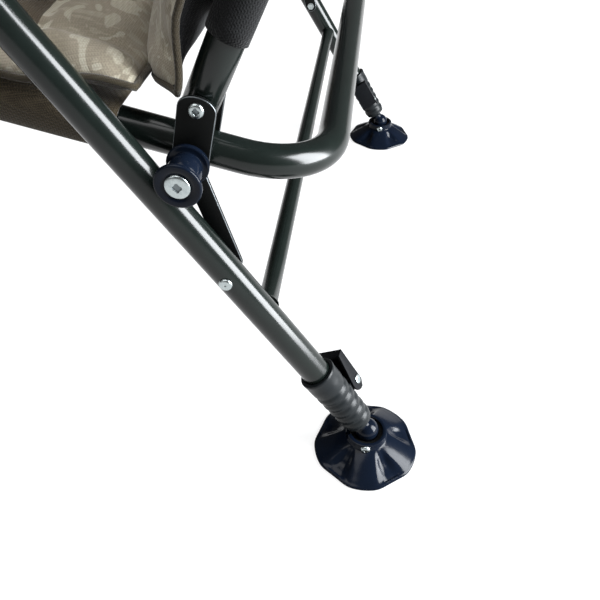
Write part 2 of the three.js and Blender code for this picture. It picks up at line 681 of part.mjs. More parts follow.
// Mud foot: rings of points, pushed out at the lobes and sunk in the flutes between them
function makeFoot() {
  const around = foot.facetsPerLobe * foot.lobes;
  const cupSphere = leg.ballRadius + foot.cupClearance;
  const cupMouth = Math.sqrt(cupSphere ** 2 - (ballHeight - foot.floor) ** 2);
  const cupAngle = Math.atan2(cupMouth, ballHeight - foot.floor);
  const cupShares = [2 / 3, 1 / 3];
  const sunk = (k, widthShare) => {
    const offFlute = Math.abs(((k % foot.facetsPerLobe) / foot.facetsPerLobe) - 0.5) * 2;
    return Math.cos((Math.PI / 2) * Math.min(1, offFlute / widthShare)) * foot.fluteDepth;
  };
  const rings = [
    { r: foot.baseRadius, z: 0, lobe: 1 },
    { r: foot.radius, z: foot.rim / 2, lobe: 1 },
    { r: foot.radius - foot.rim / 2, z: foot.rim, lobe: 1 },
    { r: (foot.radius + foot.hubRadius) / 2, z: (foot.rim + foot.hubHeight) / 2, flute: fluteShares.atRim },
    { r: foot.hubRadius + foot.rim, z: foot.hubHeight - foot.rim / 2, flute: fluteShares.atHub },
    { r: foot.hubRadius, z: foot.hubHeight },
    { r: foot.ringRadius, z: foot.hubHeight },
    { r: foot.ringRadius, z: foot.ringTop },
    { r: foot.ringRadius - foot.ringWall, z: foot.ringTop },
    { r: foot.ringRadius - foot.ringWall, z: foot.floor },
    { r: cupMouth, z: foot.floor },
    ...cupShares.map((share) => ({
      r: cupSphere * Math.sin(cupAngle * share),
      z: ballHeight - cupSphere * Math.cos(cupAngle * share),
    })),
  ];
  const points = [];
  const index = [];
  for (const ring of rings) {
    for (let k = 0; k < around; k += 1) {
      const a = (2 * Math.PI * k) / around;
      const r = ring.r + (ring.lobe ?? 0) * foot.lobeDepth * Math.cos(foot.lobes * a);
      points.push(r * Math.cos(a), r * Math.sin(a), ring.z - (ring.flute ? sunk(k, ring.flute) : 0));
    }
  }
  const base = points.length / 3;
  points.push(0, 0, 0);
  points.push(0, 0, ballHeight - cupSphere);
  for (let k = 0; k < around; k += 1) {
    const n = (k + 1) % around;
    index.push(base, n, k);
    for (let i = 0; i < rings.length - 1; i += 1) {
      const [a, b] = [i * around + k, i * around + n];
      index.push(a, b, b + around, a, b + around, a + around);
    }
    const last = (rings.length - 1) * around;
    index.push(last + k, last + n, base + 1);
  }
  const geometry = new THREE.BufferGeometry();
  geometry.setAttribute('position', new THREE.Float32BufferAttribute(points, 3));
  geometry.setIndex(index);
  geometry.computeVertexNormals();
  const hole = rodX(screw.radius + gap, foot.ringRadius - foot.ringWall - overrun, foot.hubRadius + overrun,
    0, foot.screwHeight);
  return cut(geometry, hole);
}

function makeFootScrew() {
  const headAt = foot.ringRadius + gap;
  return fastenerX(1, screw, headAt, headAt - screw.length, 0, foot.screwHeight, null);
}

function addFootEnd(where, side, x, ball, lean) {
  const group = new THREE.Group();
  group.position.set(side * x, ball.y, ball.z);
  group.rotation.x = lean;
  chair.add(group);
  addMesh(group, `inner_leg_${where}`, makeInsert(), makeSleeveRubber());
  const clamp = new THREE.Group();
  clamp.rotation.z = side * lever.swungInward;
  group.add(clamp);
  addMesh(clamp, `clamp_sleeve_${where}`, makeSleeve(), makeSleeveRubber());
  addMesh(clamp, `clamp_lever_${where}`, makeLever(), makeLeverPlastic());
  addMesh(clamp, `lever_pin_${where}`, makeLeverPin(), makeZinc());
  const flat = new THREE.Group();
  flat.position.set(side * x, ball.y, 0);
  chair.add(flat);
  addMesh(flat, `mud_foot_${where}`, makeFoot(), makeGlossPlastic());
  addMesh(flat, `foot_screw_${where}`, makeFootScrew(), makeZinc());
}

// Rear legs, which carry on round into the arms
function makeRearLeg(side) {
  const x = side * legPlane;
  const low = onRearLeg(leg.outerFrom);
  const corner = onRearLeg(armCorner);
  const pastPivot = {
    y: armPivot.y + arm.endPastPivot * Math.cos(arm.rise),
    z: armPivot.z - arm.endPastPivot * Math.sin(arm.rise),
  };
  const corners = [v3(x, low.y, low.z), v3(x, corner.y, corner.z), v3(x, pastPivot.y, pastPivot.z)];
  const reach = tube.radius + overrun;
  const holes = [
    rodX(rivet.radius + pinClearance, x - reach, x + reach, rivetPoint.y, rivetPoint.z),
    rodX(armBolt.radius + pinClearance, x - reach, x + reach, armPivot.y, armPivot.z),
  ];
  return cut(bentTube(corners, tube.radius, arm.bendRadius), tubeBore(corners, arm.bendRadius), ...holes);
}

function makeBrace(radius, y, z, plane, legDirection) {
  const bar = rodX(radius, -plane, plane, y, z, pinSides);
  const legs = sides.map(({ side }) => {
    const reach = tube.radius + radius;
    const geometry = rodZ(tube.radius + gap, -reach, reach);
    geometry.rotateX(Math.atan2(-legDirection.y, legDirection.z));
    geometry.translate(side * plane, y, z);
    return geometry;
  });
  return cut(bar, ...legs);
}

// Arm pad: a soft sleeve, crowned at mid length, on the straight run of the arm
function makeArmPad() {
  const stations = turnedSteps;
  const around = tubeSides;
  const ringAt = (k) => {
    const share = k / stations;
    const swell = Math.sin(Math.PI * share) ** 0.5;
    const round = k === 0 || k === stations ? armPad.crown : 0;
    return {
      y: -share * armPad.length,
      w: armPad.halfWidth - round,
      h: armPad.halfHeight - armPad.crown * (1 - swell) - round,
    };
  };
  const points = [];
  const index = [];
  for (let k = 0; k <= stations; k += 1) {
    const { y, w, h } = ringAt(k);
    for (let i = 0; i < around; i += 1) {
      const a = (2 * Math.PI * i) / around;
      points.push(w * Math.cos(a), y, h * Math.sin(a));
    }
  }
  const rings = points.length / 3;
  const r = tube.radius + gap;
  for (const y of [0, -armPad.length]) {
    for (let i = 0; i < around; i += 1) {
      const a = (2 * Math.PI * i) / around;
      points.push(r * Math.cos(a), y, r * Math.sin(a));
    }
  }
  const quad = (a, b, c, d) => index.push(a, b, c, a, c, d);
  for (let i = 0; i < around; i += 1) {
    const n = (i + 1) % around;
    for (let k = 0; k < stations; k += 1) {
      quad(k * around + i, k * around + n, (k + 1) * around + n, (k + 1) * around + i);
    }
    const far = stations * around;
    quad(rings + n, rings + i, rings + around + i, rings + around + n);
    quad(i, rings + i, rings + n, n);
    quad(far + n, rings + around + n, rings + around + i, far + i);
  }
  const geometry = new THREE.BufferGeometry();
  geometry.setAttribute('position', new THREE.Float32BufferAttribute(points, 3));
  geometry.setIndex(index);
  geometry.computeVertexNormals();
  return geometry;
}

for (const { side, label } of sides) {
  addMesh(chair, `rear_leg_${label}`, makeRearLeg(side), makeCoatedTube());
  const outerFace = legPlane + tube.radius + gap;
  addMesh(chair, `link_rivet_${label}`,
    fastenerX(side, rivet, outerFace, linkInnerFace - gap, rivetPoint.y, rivetPoint.z,
      { radius: rivet.backRadius, height: rivet.backHeight }),
    makeZinc());
  addMesh(chair, `arm_bolt_${label}`, fastenerX(side,
    armBolt, outerFace, legPlane - tube.radius - gap, armPivot.y, armPivot.z,
    { radius: armBolt.bushRadius, height: seat.legOffset - 2 * tube.radius - 2 * gap }), makeZinc());
  const armGroup = new THREE.Group();
  armGroup.position.set(side * legPlane, armPivot.y, armPivot.z);
  armGroup.rotation.x = -arm.rise;
  chair.add(armGroup);
  const pad = addMesh(armGroup, `arm_pad_${label}`, makeArmPad(), makeBlackCloth());
  pad.position.y = -armPad.fromPivot;
  addFootEnd(`rear_${label}`, side, legPlane, { y: 0, z: ballHeight }, Math.PI / 2 - rearLegAngle);
}
const rearBracePoint = onRearLeg(rivetUpLeg - rearBrace.belowRivet);
addMesh(chair, 'rear_leg_brace',
  makeBrace(rearBrace.radius, rearBracePoint.y, rearBracePoint.z, legPlane, rearLegDirection),
  makeCoatedTube());

// Front legs, each on a hinge plate that hangs from the rail's inner side
const frontLegDirection = { y: Math.sin(front.splay), z: Math.cos(front.splay) };

function makeFrontLeg(side) {
  const x = side * frontLegPlane;
  const at = (up) => v3(x, frontBall.y + frontLegDirection.y * up, frontBall.z + frontLegDirection.z * up);
  const corners = [at(leg.outerFrom), at(frontLegLength + tube.capExtra)];
  const reach = tube.radius + overrun;
  const hole = rodX(frontBolt.radius + pinClearance, x - reach, x + reach, frontPivot.y, frontPivot.z);
  return cut(bentTube(corners, tube.radius, 0), tubeBore(corners, 0), hole);
}

for (const { side, label } of sides) {
  addMesh(chair, `front_leg_${label}`, makeFrontLeg(side), makeCoatedTube());
  const railPoint = onSeat(frontPivotStation, 0);
  const hingeOuter = railInner;
  const hingeInner = hingeOuter - front.hingeThickness;
  addMesh(chair, `front_hinge_plate_${label}`,
    strap(frontPivot, railPoint, front.hingeWidth, side * hingeOuter, side * hingeInner,
      [{ y: frontPivot.y, z: frontPivot.z, radius: frontBolt.radius + pinClearance }]),
    makeBlackSteel());
  const headAt = frontLegPlane - tube.radius - gap;
  addMesh(chair, `front_bolt_${label}`,
    fastenerX(side, frontBolt, headAt, hingeOuter + gap, frontPivot.y, frontPivot.z,
      { radius: frontBolt.nutRadius, height: frontBolt.nutHeight }),
    makeZinc());
  addFootEnd(`front_${label}`, side, frontLegPlane, frontBall, -front.splay);
}
const frontBracePoint = {
  y: frontBall.y + frontLegDirection.y * front.braceUpLeg,
  z: frontBall.z + frontLegDirection.z * front.braceUpLeg,
};
addMesh(chair, 'front_leg_brace',
  makeBrace(front.braceRadius, frontBracePoint.y, frontBracePoint.z, frontLegPlane, frontLegDirection),
  makeCoatedTube());

// Set the chair down with the middle of its base on the origin
const middle = new THREE.Box3().setFromObject(chair, true).getCenter(v3());
for (const piece of chair.children) {
  piece.position.x -= middle.x;
  piece.position.y -= middle.y;
}

export default chair;
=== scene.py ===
# Folding carp fishing chair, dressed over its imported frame.
# Sizes are in millimetres in the tables and turned into metres when a mesh is made.
import math

import bpy
import bmesh
import numpy as np
from mathutils import Matrix, Vector, noise


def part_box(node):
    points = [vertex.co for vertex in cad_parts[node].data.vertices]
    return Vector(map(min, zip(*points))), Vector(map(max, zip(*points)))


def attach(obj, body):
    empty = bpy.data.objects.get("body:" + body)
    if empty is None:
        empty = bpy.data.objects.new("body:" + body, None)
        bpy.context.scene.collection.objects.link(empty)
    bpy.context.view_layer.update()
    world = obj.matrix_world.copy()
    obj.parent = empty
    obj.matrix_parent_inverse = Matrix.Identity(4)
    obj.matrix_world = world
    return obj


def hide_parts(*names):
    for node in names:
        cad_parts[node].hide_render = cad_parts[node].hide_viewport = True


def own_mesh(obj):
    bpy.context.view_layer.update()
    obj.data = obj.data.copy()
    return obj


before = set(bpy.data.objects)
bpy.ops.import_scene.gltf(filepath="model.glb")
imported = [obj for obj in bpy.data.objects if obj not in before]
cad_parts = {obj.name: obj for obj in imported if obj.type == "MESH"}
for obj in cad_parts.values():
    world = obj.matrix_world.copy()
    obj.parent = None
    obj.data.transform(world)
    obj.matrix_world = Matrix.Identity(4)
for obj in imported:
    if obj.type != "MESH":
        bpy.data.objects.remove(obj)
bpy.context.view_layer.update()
MM = 0.001


def middle_of(node):
    low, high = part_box(node)
    return (low + high) / 2


# The chair's own sizes are counted from its middle line, under the rear feet's ball joints
MIDDLE_X = (middle_of("arm_pad_left").x + middle_of("arm_pad_right").x) / 2
REAR_Y = middle_of("mud_foot_rear_left").y

# Sizes of the chair. TUBE and BALL are radii; the rear feet's ball joints are at y = 0.
TUBE, WALL = 12.5, 1.6
BEND, ARM_BEND = 62.0, 45.0
PLATE, GAP = 3.0, 0.3
BALL, BALL_Z = 11.2, 28.0
LEG_X, RAIL_X, FRONT_X = 310.25, 277.5, 244.75
REAR_LEG = math.radians(58)
TILT = math.radians(14)
RECLINE = math.radians(26.8)
SPLAY = math.radians(29)
ARM_RISE = math.radians(7)
SEAT_Z = 268.5
REAR_BAR, SEAT_LENGTH = -46.375, 572.0
FRONT_BAR = REAR_BAR - SEAT_LENGTH
BACK_LENGTH = 545.0
BRACKET_AT, HINGE_AT = REAR_BAR - 94.8, FRONT_BAR + 76
ARM_UP, ARM_BEHIND = 240, 25
TUBE_FROM, PAST_BOLT = 34, 13
RIVET_UP, REAR_BRACE_UP, FRONT_BRACE_UP = 218, 170, 165
CLAMP_TURN = math.radians(80)
LEVER_PIN = (22.2, 47.8)


def on_seat(along, above):
    c, s = math.cos(TILT), math.sin(TILT)
    return (along * c + above * s, SEAT_Z - along * s + above * c)


def up_leg(ball, up, distance):
    """A (y, z) point some way from another, such as up a leg from its ball."""
    return (ball[0] + up[0] * distance, ball[1] + up[1] * distance)


STOP = on_seat(BRACKET_AT, -4)
POST = on_seat(BRACKET_AT, 33.6)
FRONT_PIVOT = on_seat(HINGE_AT, -34)
REAR_BALL = (0, BALL_Z)
UP_REAR = (-math.cos(REAR_LEG), math.sin(REAR_LEG))
UP_FRONT = (math.sin(SPLAY), math.cos(SPLAY))
RIVET = up_leg(REAR_BALL, UP_REAR, RIVET_UP)
ARM_PIVOT = (POST[0] + ARM_UP * math.sin(RECLINE) + ARM_BEHIND * math.cos(RECLINE),
             POST[1] + ARM_UP * math.cos(RECLINE) - ARM_BEHIND * math.sin(RECLINE))
FRONT_LENGTH = (FRONT_PIVOT[1] - BALL_Z) / math.cos(SPLAY)
FRONT_BALL = (FRONT_PIVOT[0] - FRONT_LENGTH * math.sin(SPLAY), BALL_Z)
SIDES = (("left", 1), ("right", -1))

# Frames that pieces are made in: millimetres in, metres out
WORLD = Matrix.Translation((MIDDLE_X, REAR_Y, 0)) @ Matrix.Scale(MM, 4)
SEAT = WORLD @ Matrix.Translation((0, 0, SEAT_Z)) @ Matrix.Rotation(-TILT, 4, "X")
BACK = WORLD @ Matrix.Translation((0, *POST)) @ Matrix.Rotation(-RECLINE, 4, "X")
ARM = WORLD @ Matrix.Translation((0, *ARM_PIVOT)) @ Matrix.Rotation(-ARM_RISE, 4, "X")


def foot_frame(end, side):
    x = side * (LEG_X if end == "rear" else FRONT_X)
    y = 0 if end == "rear" else FRONT_BALL[0]
    return WORLD @ Matrix.Translation((x, y, 0))


def leg_frame(end, side):
    lean = math.pi / 2 - REAR_LEG if end == "rear" else -SPLAY
    return foot_frame(end, side) @ Matrix.Translation((0, 0, BALL_Z)) @ Matrix.Rotation(lean, 4, "X")


def clamp_frame(end, side):
    return leg_frame(end, side) @ Matrix.Rotation(side * CLAMP_TURN, 4, "Z")


# Materials
def linear(hexcode):
    parts = [int(hexcode[i:i + 2], 16) / 255 for i in (0, 2, 4)]
    return tuple(c / 12.92 if c < 0.04045 else ((c + 0.055) / 1.055) ** 2.4 for c in parts) + (1,)


class Nodes:
    """A material being put together from nodes. A value given to an input may be a socket."""

    def __init__(self, name):
        self.mat = bpy.data.materials.new(name)
        self.mat.use_nodes = True
        self.tree = self.mat.node_tree
        self.shader = self.tree.nodes["Principled BSDF"]
        self.place = self.tree.nodes.new("ShaderNodeTexCoord").outputs["Object"]
        self.height = None

    def fill(self, socket, value):
        if isinstance(value, bpy.types.NodeSocket):
            self.tree.links.new(value, socket)
        else:
            socket.default_value = value

    def node(self, kind, **values):
        """A new node: names in small letters are its settings, the others its inputs."""
        made = self.tree.nodes.new(kind)
        for key, value in values.items():
            if key.islower():
                setattr(made, key, value)
            else:
                self.fill(made.inputs[key.replace("_", " ")], value)
        return made

    def set(self, **values):
        for key, value in values.items():
            self.fill(self.shader.inputs[key.replace("_", " ")], value)

    def mapped(self, scale, turn):
        return self.node("ShaderNodeMapping", Scale=scale, Rotation=turn, Vector=self.place).outputs[0]

    def noise(self, scale, detail, rough=0.5, distort=0.0, vector=None):
        return self.node("ShaderNodeTexNoise", Scale=scale, Detail=detail, Roughness=rough,
                         Distortion=distort, Vector=vector or self.place).outputs["Fac"]

    def voronoi(self, scale):
        return self.node("ShaderNodeTexVoronoi", Scale=scale, Vector=self.place).outputs["Distance"]

    def math(self, operation, a, b=0.0):
        made = self.node("ShaderNodeMath", operation=operation)
        for socket, value in zip(made.inputs, (a, b)):
            self.fill(socket, value)
        return made.outputs[0]

    def ramp(self, fac, stops):
        made = self.node("ShaderNodeValToRGB", Fac=fac)
        elements = made.color_ramp.elements
        while len(elements) > 1:
            elements.remove(elements[-1])
        for i, (at, color) in enumerate(stops):
            element = elements[0] if i == 0 else elements.new(at)
            element.position = at
            element.color = color
        return made.outputs["Color"]

    def mix(self, fac, a, b):
        return self.node("ShaderNodeMix", data_type="RGBA", Factor=fac, A=a, B=b).outputs["Result"]

    def rough(self, fac, low, high):
        made = self.node("ShaderNodeMapRange", Value=fac, To_Min=low, To_Max=high)
        self.set(Roughness=made.outputs["Result"])

    def bump(self, height, distance, strength):
        made = self.node("ShaderNodeBump", Distance=distance, Strength=strength, Height=height)
        if self.height is not None:
            self.fill(made.inputs["Normal"], self.height)
        self.height = made.outputs["Normal"]
        self.set(Normal=self.height)


def surface(name, dark, light, tone, grain, low, high, bumps, **values):
    """Two close colours by the noise tone, and a roughness from low to high by the noise grain.

    A bump is (scale, detail, distance, strength), of noise, or of cells where its detail is 0."""
    m = Nodes(name)
    m.set(Base_Color=m.mix(m.noise(*tone), linear(dark), linear(light)), **values)
    m.rough(m.noise(*grain), low, high)
    for scale, detail, distance, strength in bumps:
        m.bump(m.noise(scale, detail) if detail else m.voronoi(scale), distance, strength)
    return m.mat


# Two tones of black steel mixed by noise; the edge and recess materials made with it carry a painted
# highlight and painted shade.
def black_steel(name, base, lighter, metallic, low, high, specular=0.5):
    return surface(name, base, lighter, (90, 3), (300, 3), low, high, [(1600, 2, 0.00004, 0.5)],
                   Metallic=metallic, Specular_IOR_Level=specular)


def moulded(name, dark, light, low, high, grain, depth, specular):
    return surface(name, dark, light, (45, 3), (120, 3), low, high,
                   [(grain, 0, depth, 0.4), (70, 2, 0.0003, 0.25)], Specular_IOR_Level=specular)


def weave_height(m, pitch):
    """Threads crossing each other, the same on every side of a cushion: waves along the three axes."""
    parts = m.node("ShaderNodeSeparateXYZ", Vector=m.mapped((1, 1, 1), (0.5, 0.35, 0.8)))
    turned = [m.math("MULTIPLY", parts.outputs[i], 2 * math.pi / pitch) for i in range(3)]
    sines = [m.math("SINE", t) for t in turned]
    cosines = [m.math("COSINE", t) for t in turned]
    crossed = [m.math("MULTIPLY", sines[i], cosines[(i + 1) % 3]) for i in range(3)]
    total = m.math("ADD", m.math("ADD", crossed[0], crossed[1]), crossed[2])
    return m.math("ADD", m.math("MULTIPLY", total, 0.33), 0.5)


def twill(name, dark, light, pitch=0.0018, depth=0.55, sheen=0.2):
    m = Nodes(name)
    height = weave_height(m, pitch)
    tone = m.mix(m.noise(14, 4, 0.6), linear(dark), linear(light))
    m.bump(height, 0.0005, 0.6)
    m.bump(m.noise(60, 3), 0.0012, 0.3)
    m.set(Base_Color=m.mix(m.math("MULTIPLY", height, depth), linear(dark), tone), Roughness=0.92,
          Sheen_Weight=sheen, Sheen_Roughness=0.5, Specular_IOR_Level=0.25)
    return m.mat


def camouflage():
    """A soft print of our own: small wandering pale blotches on a taupe ground."""
    m = Nodes("camouflage_cloth")
    tone = m.ramp(m.noise(9, 2, 0.5, 0.4), [(0.38, linear("827a6b")), (0.52, linear("8d8575")),
                                            (0.66, linear("978f80"))])
    blotches = (((21, 1.2, 0.45, 0.9), (1, 0.72, 1), (0.2, 0.1, 0.5), (0.55, 0.61), 0.4, "756c5b"),
                ((52, 1.0, 0.4, 1.5), (0.8, 1.15, 1), (0.5, 0.2, 1.1), (0.575, 0.6), 0.6, "beb9a8"),
                ((70, 0.6, 0.4, 1.8), (1.3, 0.6, 0.9), (0.1, 0.7, 2.1), (0.62, 0.65), 0.4, "b4ae9b"))
    for grain, scale, turn, (off, on), amount, color in blotches:
        where = m.ramp(m.noise(*grain, m.mapped(scale, turn)), [(off, (0, 0, 0, 1)), (on, (1, 1, 1, 1))])
        tone = m.mix(m.math("MULTIPLY", where, amount), tone, linear(color))
    height = weave_height(m, 0.0021)
    m.bump(height, 0.0004, 0.5)
    m.bump(m.noise(55, 3), 0.0012, 0.25)
    m.set(Base_Color=m.mix(m.math("MULTIPLY", height, 0.3), tone, linear("5d5444")), Roughness=0.9,
          Sheen_Weight=0.25, Sheen_Roughness=0.45, Specular_IOR_Level=0.25)
    return m.mat


MATS = {
    "tube": surface("coated_tube", "0b100e", "121816", (60, 3), (180, 4), 0.16, 0.22,
                    [(900, 2, 0.00003, 0.2)], Specular_IOR_Level=0.31),
    "steel": black_steel("black_steel", "020303", "060707", 0.0, 0.5, 0.62, 0.12),
    # The plates' rounded edges: a light metallic grey that is a painted highlight on the black steel.
    "edge": black_steel("steel_edge_painted_highlight", "4a4e51", "7b8083", 0.9, 0.25, 0.4),
    "zinc": surface("bright_zinc", "8f989a", "bcc3c3", (420, 4, 0.6), (700, 3), 0.16, 0.36,
                    [(1500, 3, 0.00005, 0.5)], Metallic=1.0),
    # Driver recesses in the zinc heads: a darker zinc that is painted shade.
    "recess": black_steel("zinc_recess_painted_shade", "5e6568", "8b9396", 0.8, 0.4, 0.55),
    "gloss": moulded("gloss_plastic", "070c15", "0b121e", 0.12, 0.2, 1400, 0.00002, 0.12),
    "rubber": moulded("sleeve_rubber", "0e1113", "14181a", 0.32, 0.42, 1900, 0.00006, 0.17),
    "lever": moulded("lever_plastic", "08090b", "0e1013", 0.42, 0.52, 1700, 0.00008, 0.06),
    # Inside the foot's ring, its ball cup and the foot screw's recess: near black, painted shade.
    "dark": moulded("recess_painted_shade", "030304", "070808", 0.5, 0.7, 1200, 0.00005, 0.2),
    "camo": camouflage(),
    "plain": twill("plain_brown_cloth", "453c30", "5b5143"),
    "twill": twill("brown_twill", "2c2518", "5d523f", 0.0019, 0.9),
    "piping": twill("piping_cloth", "2c261a", "4b4230", 0.0016),
    "black": twill("black_cloth", "040506", "0b0c0e", 0.0022, 0.6, 0.05),
    "foam": twill("arm_foam_cloth", "050607", "0d0e10", 0.0018, 0.6, 0.05),
}


# Mesh helpers
def in_scene(name, data):
    obj = bpy.data.objects.new(name, data)
    bpy.context.scene.collection.objects.link(obj)
    return obj


def piece(name, verts, faces, matrix, body, mats, face_mats=None, smooth=60, replaces=()):
    """A mesh object that rides on a body. mats are keys of MATS; face_mats picks one per face.

    Edges that turn by more than smooth degrees are sharp."""
    keys = (mats,) if isinstance(mats, str) else mats
    mesh = bpy.data.meshes.new(name)
    mesh.from_pydata([tuple(matrix @ Vector(v)) for v in verts], [], [tuple(f) for f in faces])
    for key in keys:
        mesh.materials.append(MATS[key])
    if face_mats is not None:
        mesh.polygons.foreach_set("material_index", np.array(face_mats, np.int32))
    bm = bmesh.new()
    bm.from_mesh(mesh)
    bmesh.ops.remove_doubles(bm, verts=bm.verts, dist=1e-6)
    bmesh.ops.recalc_face_normals(bm, faces=bm.faces)
    bm.normal_update()
    for face in bm.faces:
        face.smooth = True
    for edge in bm.edges:
        edge.smooth = len(edge.link_faces) != 2 or edge.calc_face_angle(0) < math.radians(smooth)
    bm.to_mesh(mesh)
    bm.free()
    obj = in_scene(name, mesh)
    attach(obj, body)
    if replaces:
        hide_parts(*replaces)
    return obj


def grid_faces(rows, cols):
    """Faces between rows of points that each go all the way round."""
    faces = []
    for i in range(rows - 1):
        for j in range(cols):
            n = (j + 1) % cols
            faces.append((i * cols + j, i * cols + n, (i + 1) * cols + n, (i + 1) * cols + j))
    return faces


def ring_faces(rows, cols):
    """The same, with the last row joined to the first."""
    last = (rows - 1) * cols
    return grid_faces(rows, cols) + [(last + k, last + (k + 1) % cols, (k + 1) % cols, k)
                                     for k in range(cols)]


def angles(count):
    """That many equal steps of a full turn."""
    return [2 * math.pi * k / count for k in range(count)]


def lathe(profile, sides):
    """Verts and faces of a shape turned about Z; profile is (radius, height), ends on the axis closed."""
    verts, rings, faces = [], [], []
    for r, z in profile:
        start = len(verts)
        if r < 1e-6:
            verts.append((0, 0, z))
            rings.append([start] * sides)
        else:
            verts += [(r * math.cos(a), r * math.sin(a), z) for a in angles(sides)]
            rings.append(range(start, start + sides))
    for a, b in zip(rings, rings[1:]):
        for k in range(sides):
            n = (k + 1) % sides
            face = tuple(dict.fromkeys((a[k], b[k], b[n], a[n])))
            if len(face) > 2:
                faces.append(face)
    return verts, faces


def smooth_step(t):
    """From 0 to 1 as t does, and level at both ends."""
    t = min(1.0, max(0.0, t))
    return t * t * (3 - 2 * t)


def along_x(side):
    """Turns a shape made about Z so that its axis points out along the chair's side."""
    return Matrix.Rotation(side * math.pi / 2, 4, "Y")


def beside(side, at):
    """A frame on the middle line at a (y, z) point, whose Z points out along the chair's side."""
    return WORLD @ Matrix.Translation((0, *at)) @ along_x(side)


def bent_path(corners, bend, closed):
    """Points and tangents of straight runs joined by round bends, no more than run apart."""
    steps, run = 14, 45.0
    pts = [Vector(c) for c in corners]
    count = len(pts)
    spots = []
    for i, corner in enumerate(pts):
        if not closed and i in (0, count - 1):
            j = max(i, 1)
            spots.append((corner, (pts[j] - pts[j - 1]).normalized()))
            continue
        before = (corner - pts[i - 1]).normalized()
        after = (pts[(i + 1) % count] - corner).normalized()
        turn = before.angle(after)
        start = corner - before * bend * math.tan(turn / 2)
        inward = (after - before * before.dot(after)).normalized()
        centre = start + inward * bend
        for k in range(steps + 1):
            a = turn * k / steps
            spots.append((centre - inward * bend * math.cos(a) + before * bend * math.sin(a),
                          before * math.cos(a) + inward * math.sin(a)))
    if closed:
        spots.append(spots[0])
    filled = [spots[0]]
    for here, there in zip(spots, spots[1:]):
        parts = max(1, int((there[0] - here[0]).length // run))
        for k in range(1, parts + 1):
            share = k / parts
            filled.append((here[0].lerp(there[0], share), here[1].lerp(there[1], share).normalized()))
    return filled[:-1] if closed else filled


def ring_at(point, tangent, normal, radius, sides):
    side = tangent.cross(normal).normalized()
    return [point + (normal * math.cos(a) + side * math.sin(a)) * radius for a in angles(sides)]


def tube_mesh(corners, normal, bend=BEND, closed=False):
    """A bent tube with rounded lips and a real wall at its open ends."""
    sides = 32
    path = bent_path(corners, bend, closed)
    normal = Vector(normal)
    if closed:
        verts = [v for p, t in path for v in ring_at(p, t, normal, TUBE, sides)]
        return verts, ring_faces(len(path), sides)
    lip, inner, depth = 0.35, TUBE - WALL, 16.0
    mouth = [(depth, 0.01), (depth, inner), (lip, inner), (0, inner + lip), (0, TUBE - lip), (lip, TUBE)]
    (p0, t0), (p1, t1) = path[0], path[-1]
    rows = [(p0 + t0 * d, t0, r) for d, r in mouth]
    rows += [(p, t, TUBE) for p, t in path[1:-1]]
    rows += [(p1 - t1 * d, t1, r) for d, r in reversed(mouth)]
    verts = [v for p, t, r in rows for v in ring_at(p, t, normal, r, sides)]
    return verts, grid_faces(len(rows), sides)


def merged(*parts):
    """Several (verts, faces) put together as one; each may come with a matrix."""
    verts, faces = [], []
    for part in parts:
        v, f = part[0], part[1]
        matrix = part[2] if len(part) > 2 else Matrix.Identity(4)
        start = len(verts)
        verts += [tuple(matrix @ Vector(q)) for q in v]
        faces += [tuple(i + start for i in face) for face in f]
    return verts, faces


def outline_prism(outline, x0, x1, bevel):
    """A plate in the side plane: outline points are (y, z); the edges are rounded over, kind 1."""
    steps = 3
    pts = [Vector(p) for p in outline]
    count = len(pts)
    inward = []
    for i, p in enumerate(pts):
        a = (p - pts[i - 1]).normalized()
        b = (pts[(i + 1) % count] - p).normalized()
        n = Vector((-(a.y + b.y), a.x + b.x))
        n.normalize()
        inward.append(n / max(0.4, math.cos(a.angle(b) / 2)) if a.length and b.length else n)
    area = sum(pts[i - 1].x * pts[i].y - pts[i].x * pts[i - 1].y for i in range(count))
    sign = 1 if area > 0 else -1
    low, high = min(x0, x1), max(x0, x1)
    rows = [(low + bevel * (1 - math.sin(math.pi / 2 * k / steps)),
             bevel * (1 - math.cos(math.pi / 2 * k / steps))) for k in range(steps, -1, -1)]
    rows += [(low + high - x, inset) for x, inset in reversed(rows)]
    verts = []
    for x, inset in rows:
        for p, n in zip(pts, inward):
            q = p + n * inset * sign
            verts.append((x, q.x, q.y))
    faces = grid_faces(len(rows), count)
    kinds = [int(i != steps) for i in range(len(rows) - 1) for _ in range(count)]
    faces.append(tuple(range(count)))
    faces.append(tuple(range(len(verts) - count, len(verts))))
    return verts, faces, kinds + [0, 0]


def stadium(a, b, width, blunt=1.0):
    """Outline of a flat bar with round ends between two (y, z) points; blunt flattens the end at b."""
    steps = 14
    along = Vector((b[0] - a[0], b[1] - a[1])).normalized()
    across = Vector((-along.y, along.x))
    out = []
    for centre, start, reach in ((b, -math.pi / 2, blunt), (a, math.pi / 2, 1.0)):
        for k in range(steps + 1):
            t = start + math.pi * k / steps
            place = Vector(centre) + (along * math.cos(t) * reach + across * math.sin(t)) * width / 2
            out.append(tuple(place))
    return out


def bolt_head(radius, height, recess, depth, sides=48, dome=0.55):
    """A pan head about Z standing on z = 0, with a driver recess of four soft lobes, kind 1."""
    lobes, lobe_depth, full_dome = 4, 0.16, 0.55

    def star(a, share):
        return share * recess * (1 + lobe_depth * math.cos(lobes * a))
    around = angles(sides)
    rows = [[(0.01, height - depth)] * sides]
    for share, z in ((0.9, height - depth), (1.0, height - 0.12), (1.06, height)):
        rows.append([(star(a, share), z) for a in around])
    for share, drop in ((0.62, 0.02), (0.78, 0.1), (0.9, 0.27), (0.97, 0.5), (1.0, 0.78), (1.0, 1.0)):
        z = height * (1 - drop * dome / full_dome) if drop < 1 else 0.0
        rows.append([(max(radius * share, star(a, 1.08)), max(z, 0.0)) for a in around])
    verts = [(r * math.cos(a), r * math.sin(a), z) for row in rows for a, (r, z) in zip(around, row)]
    faces = grid_faces(len(rows), sides)
    kinds = [1 if i < 2 else 0 for i in range(len(rows) - 1) for _ in range(sides)]
    return verts, faces, kinds


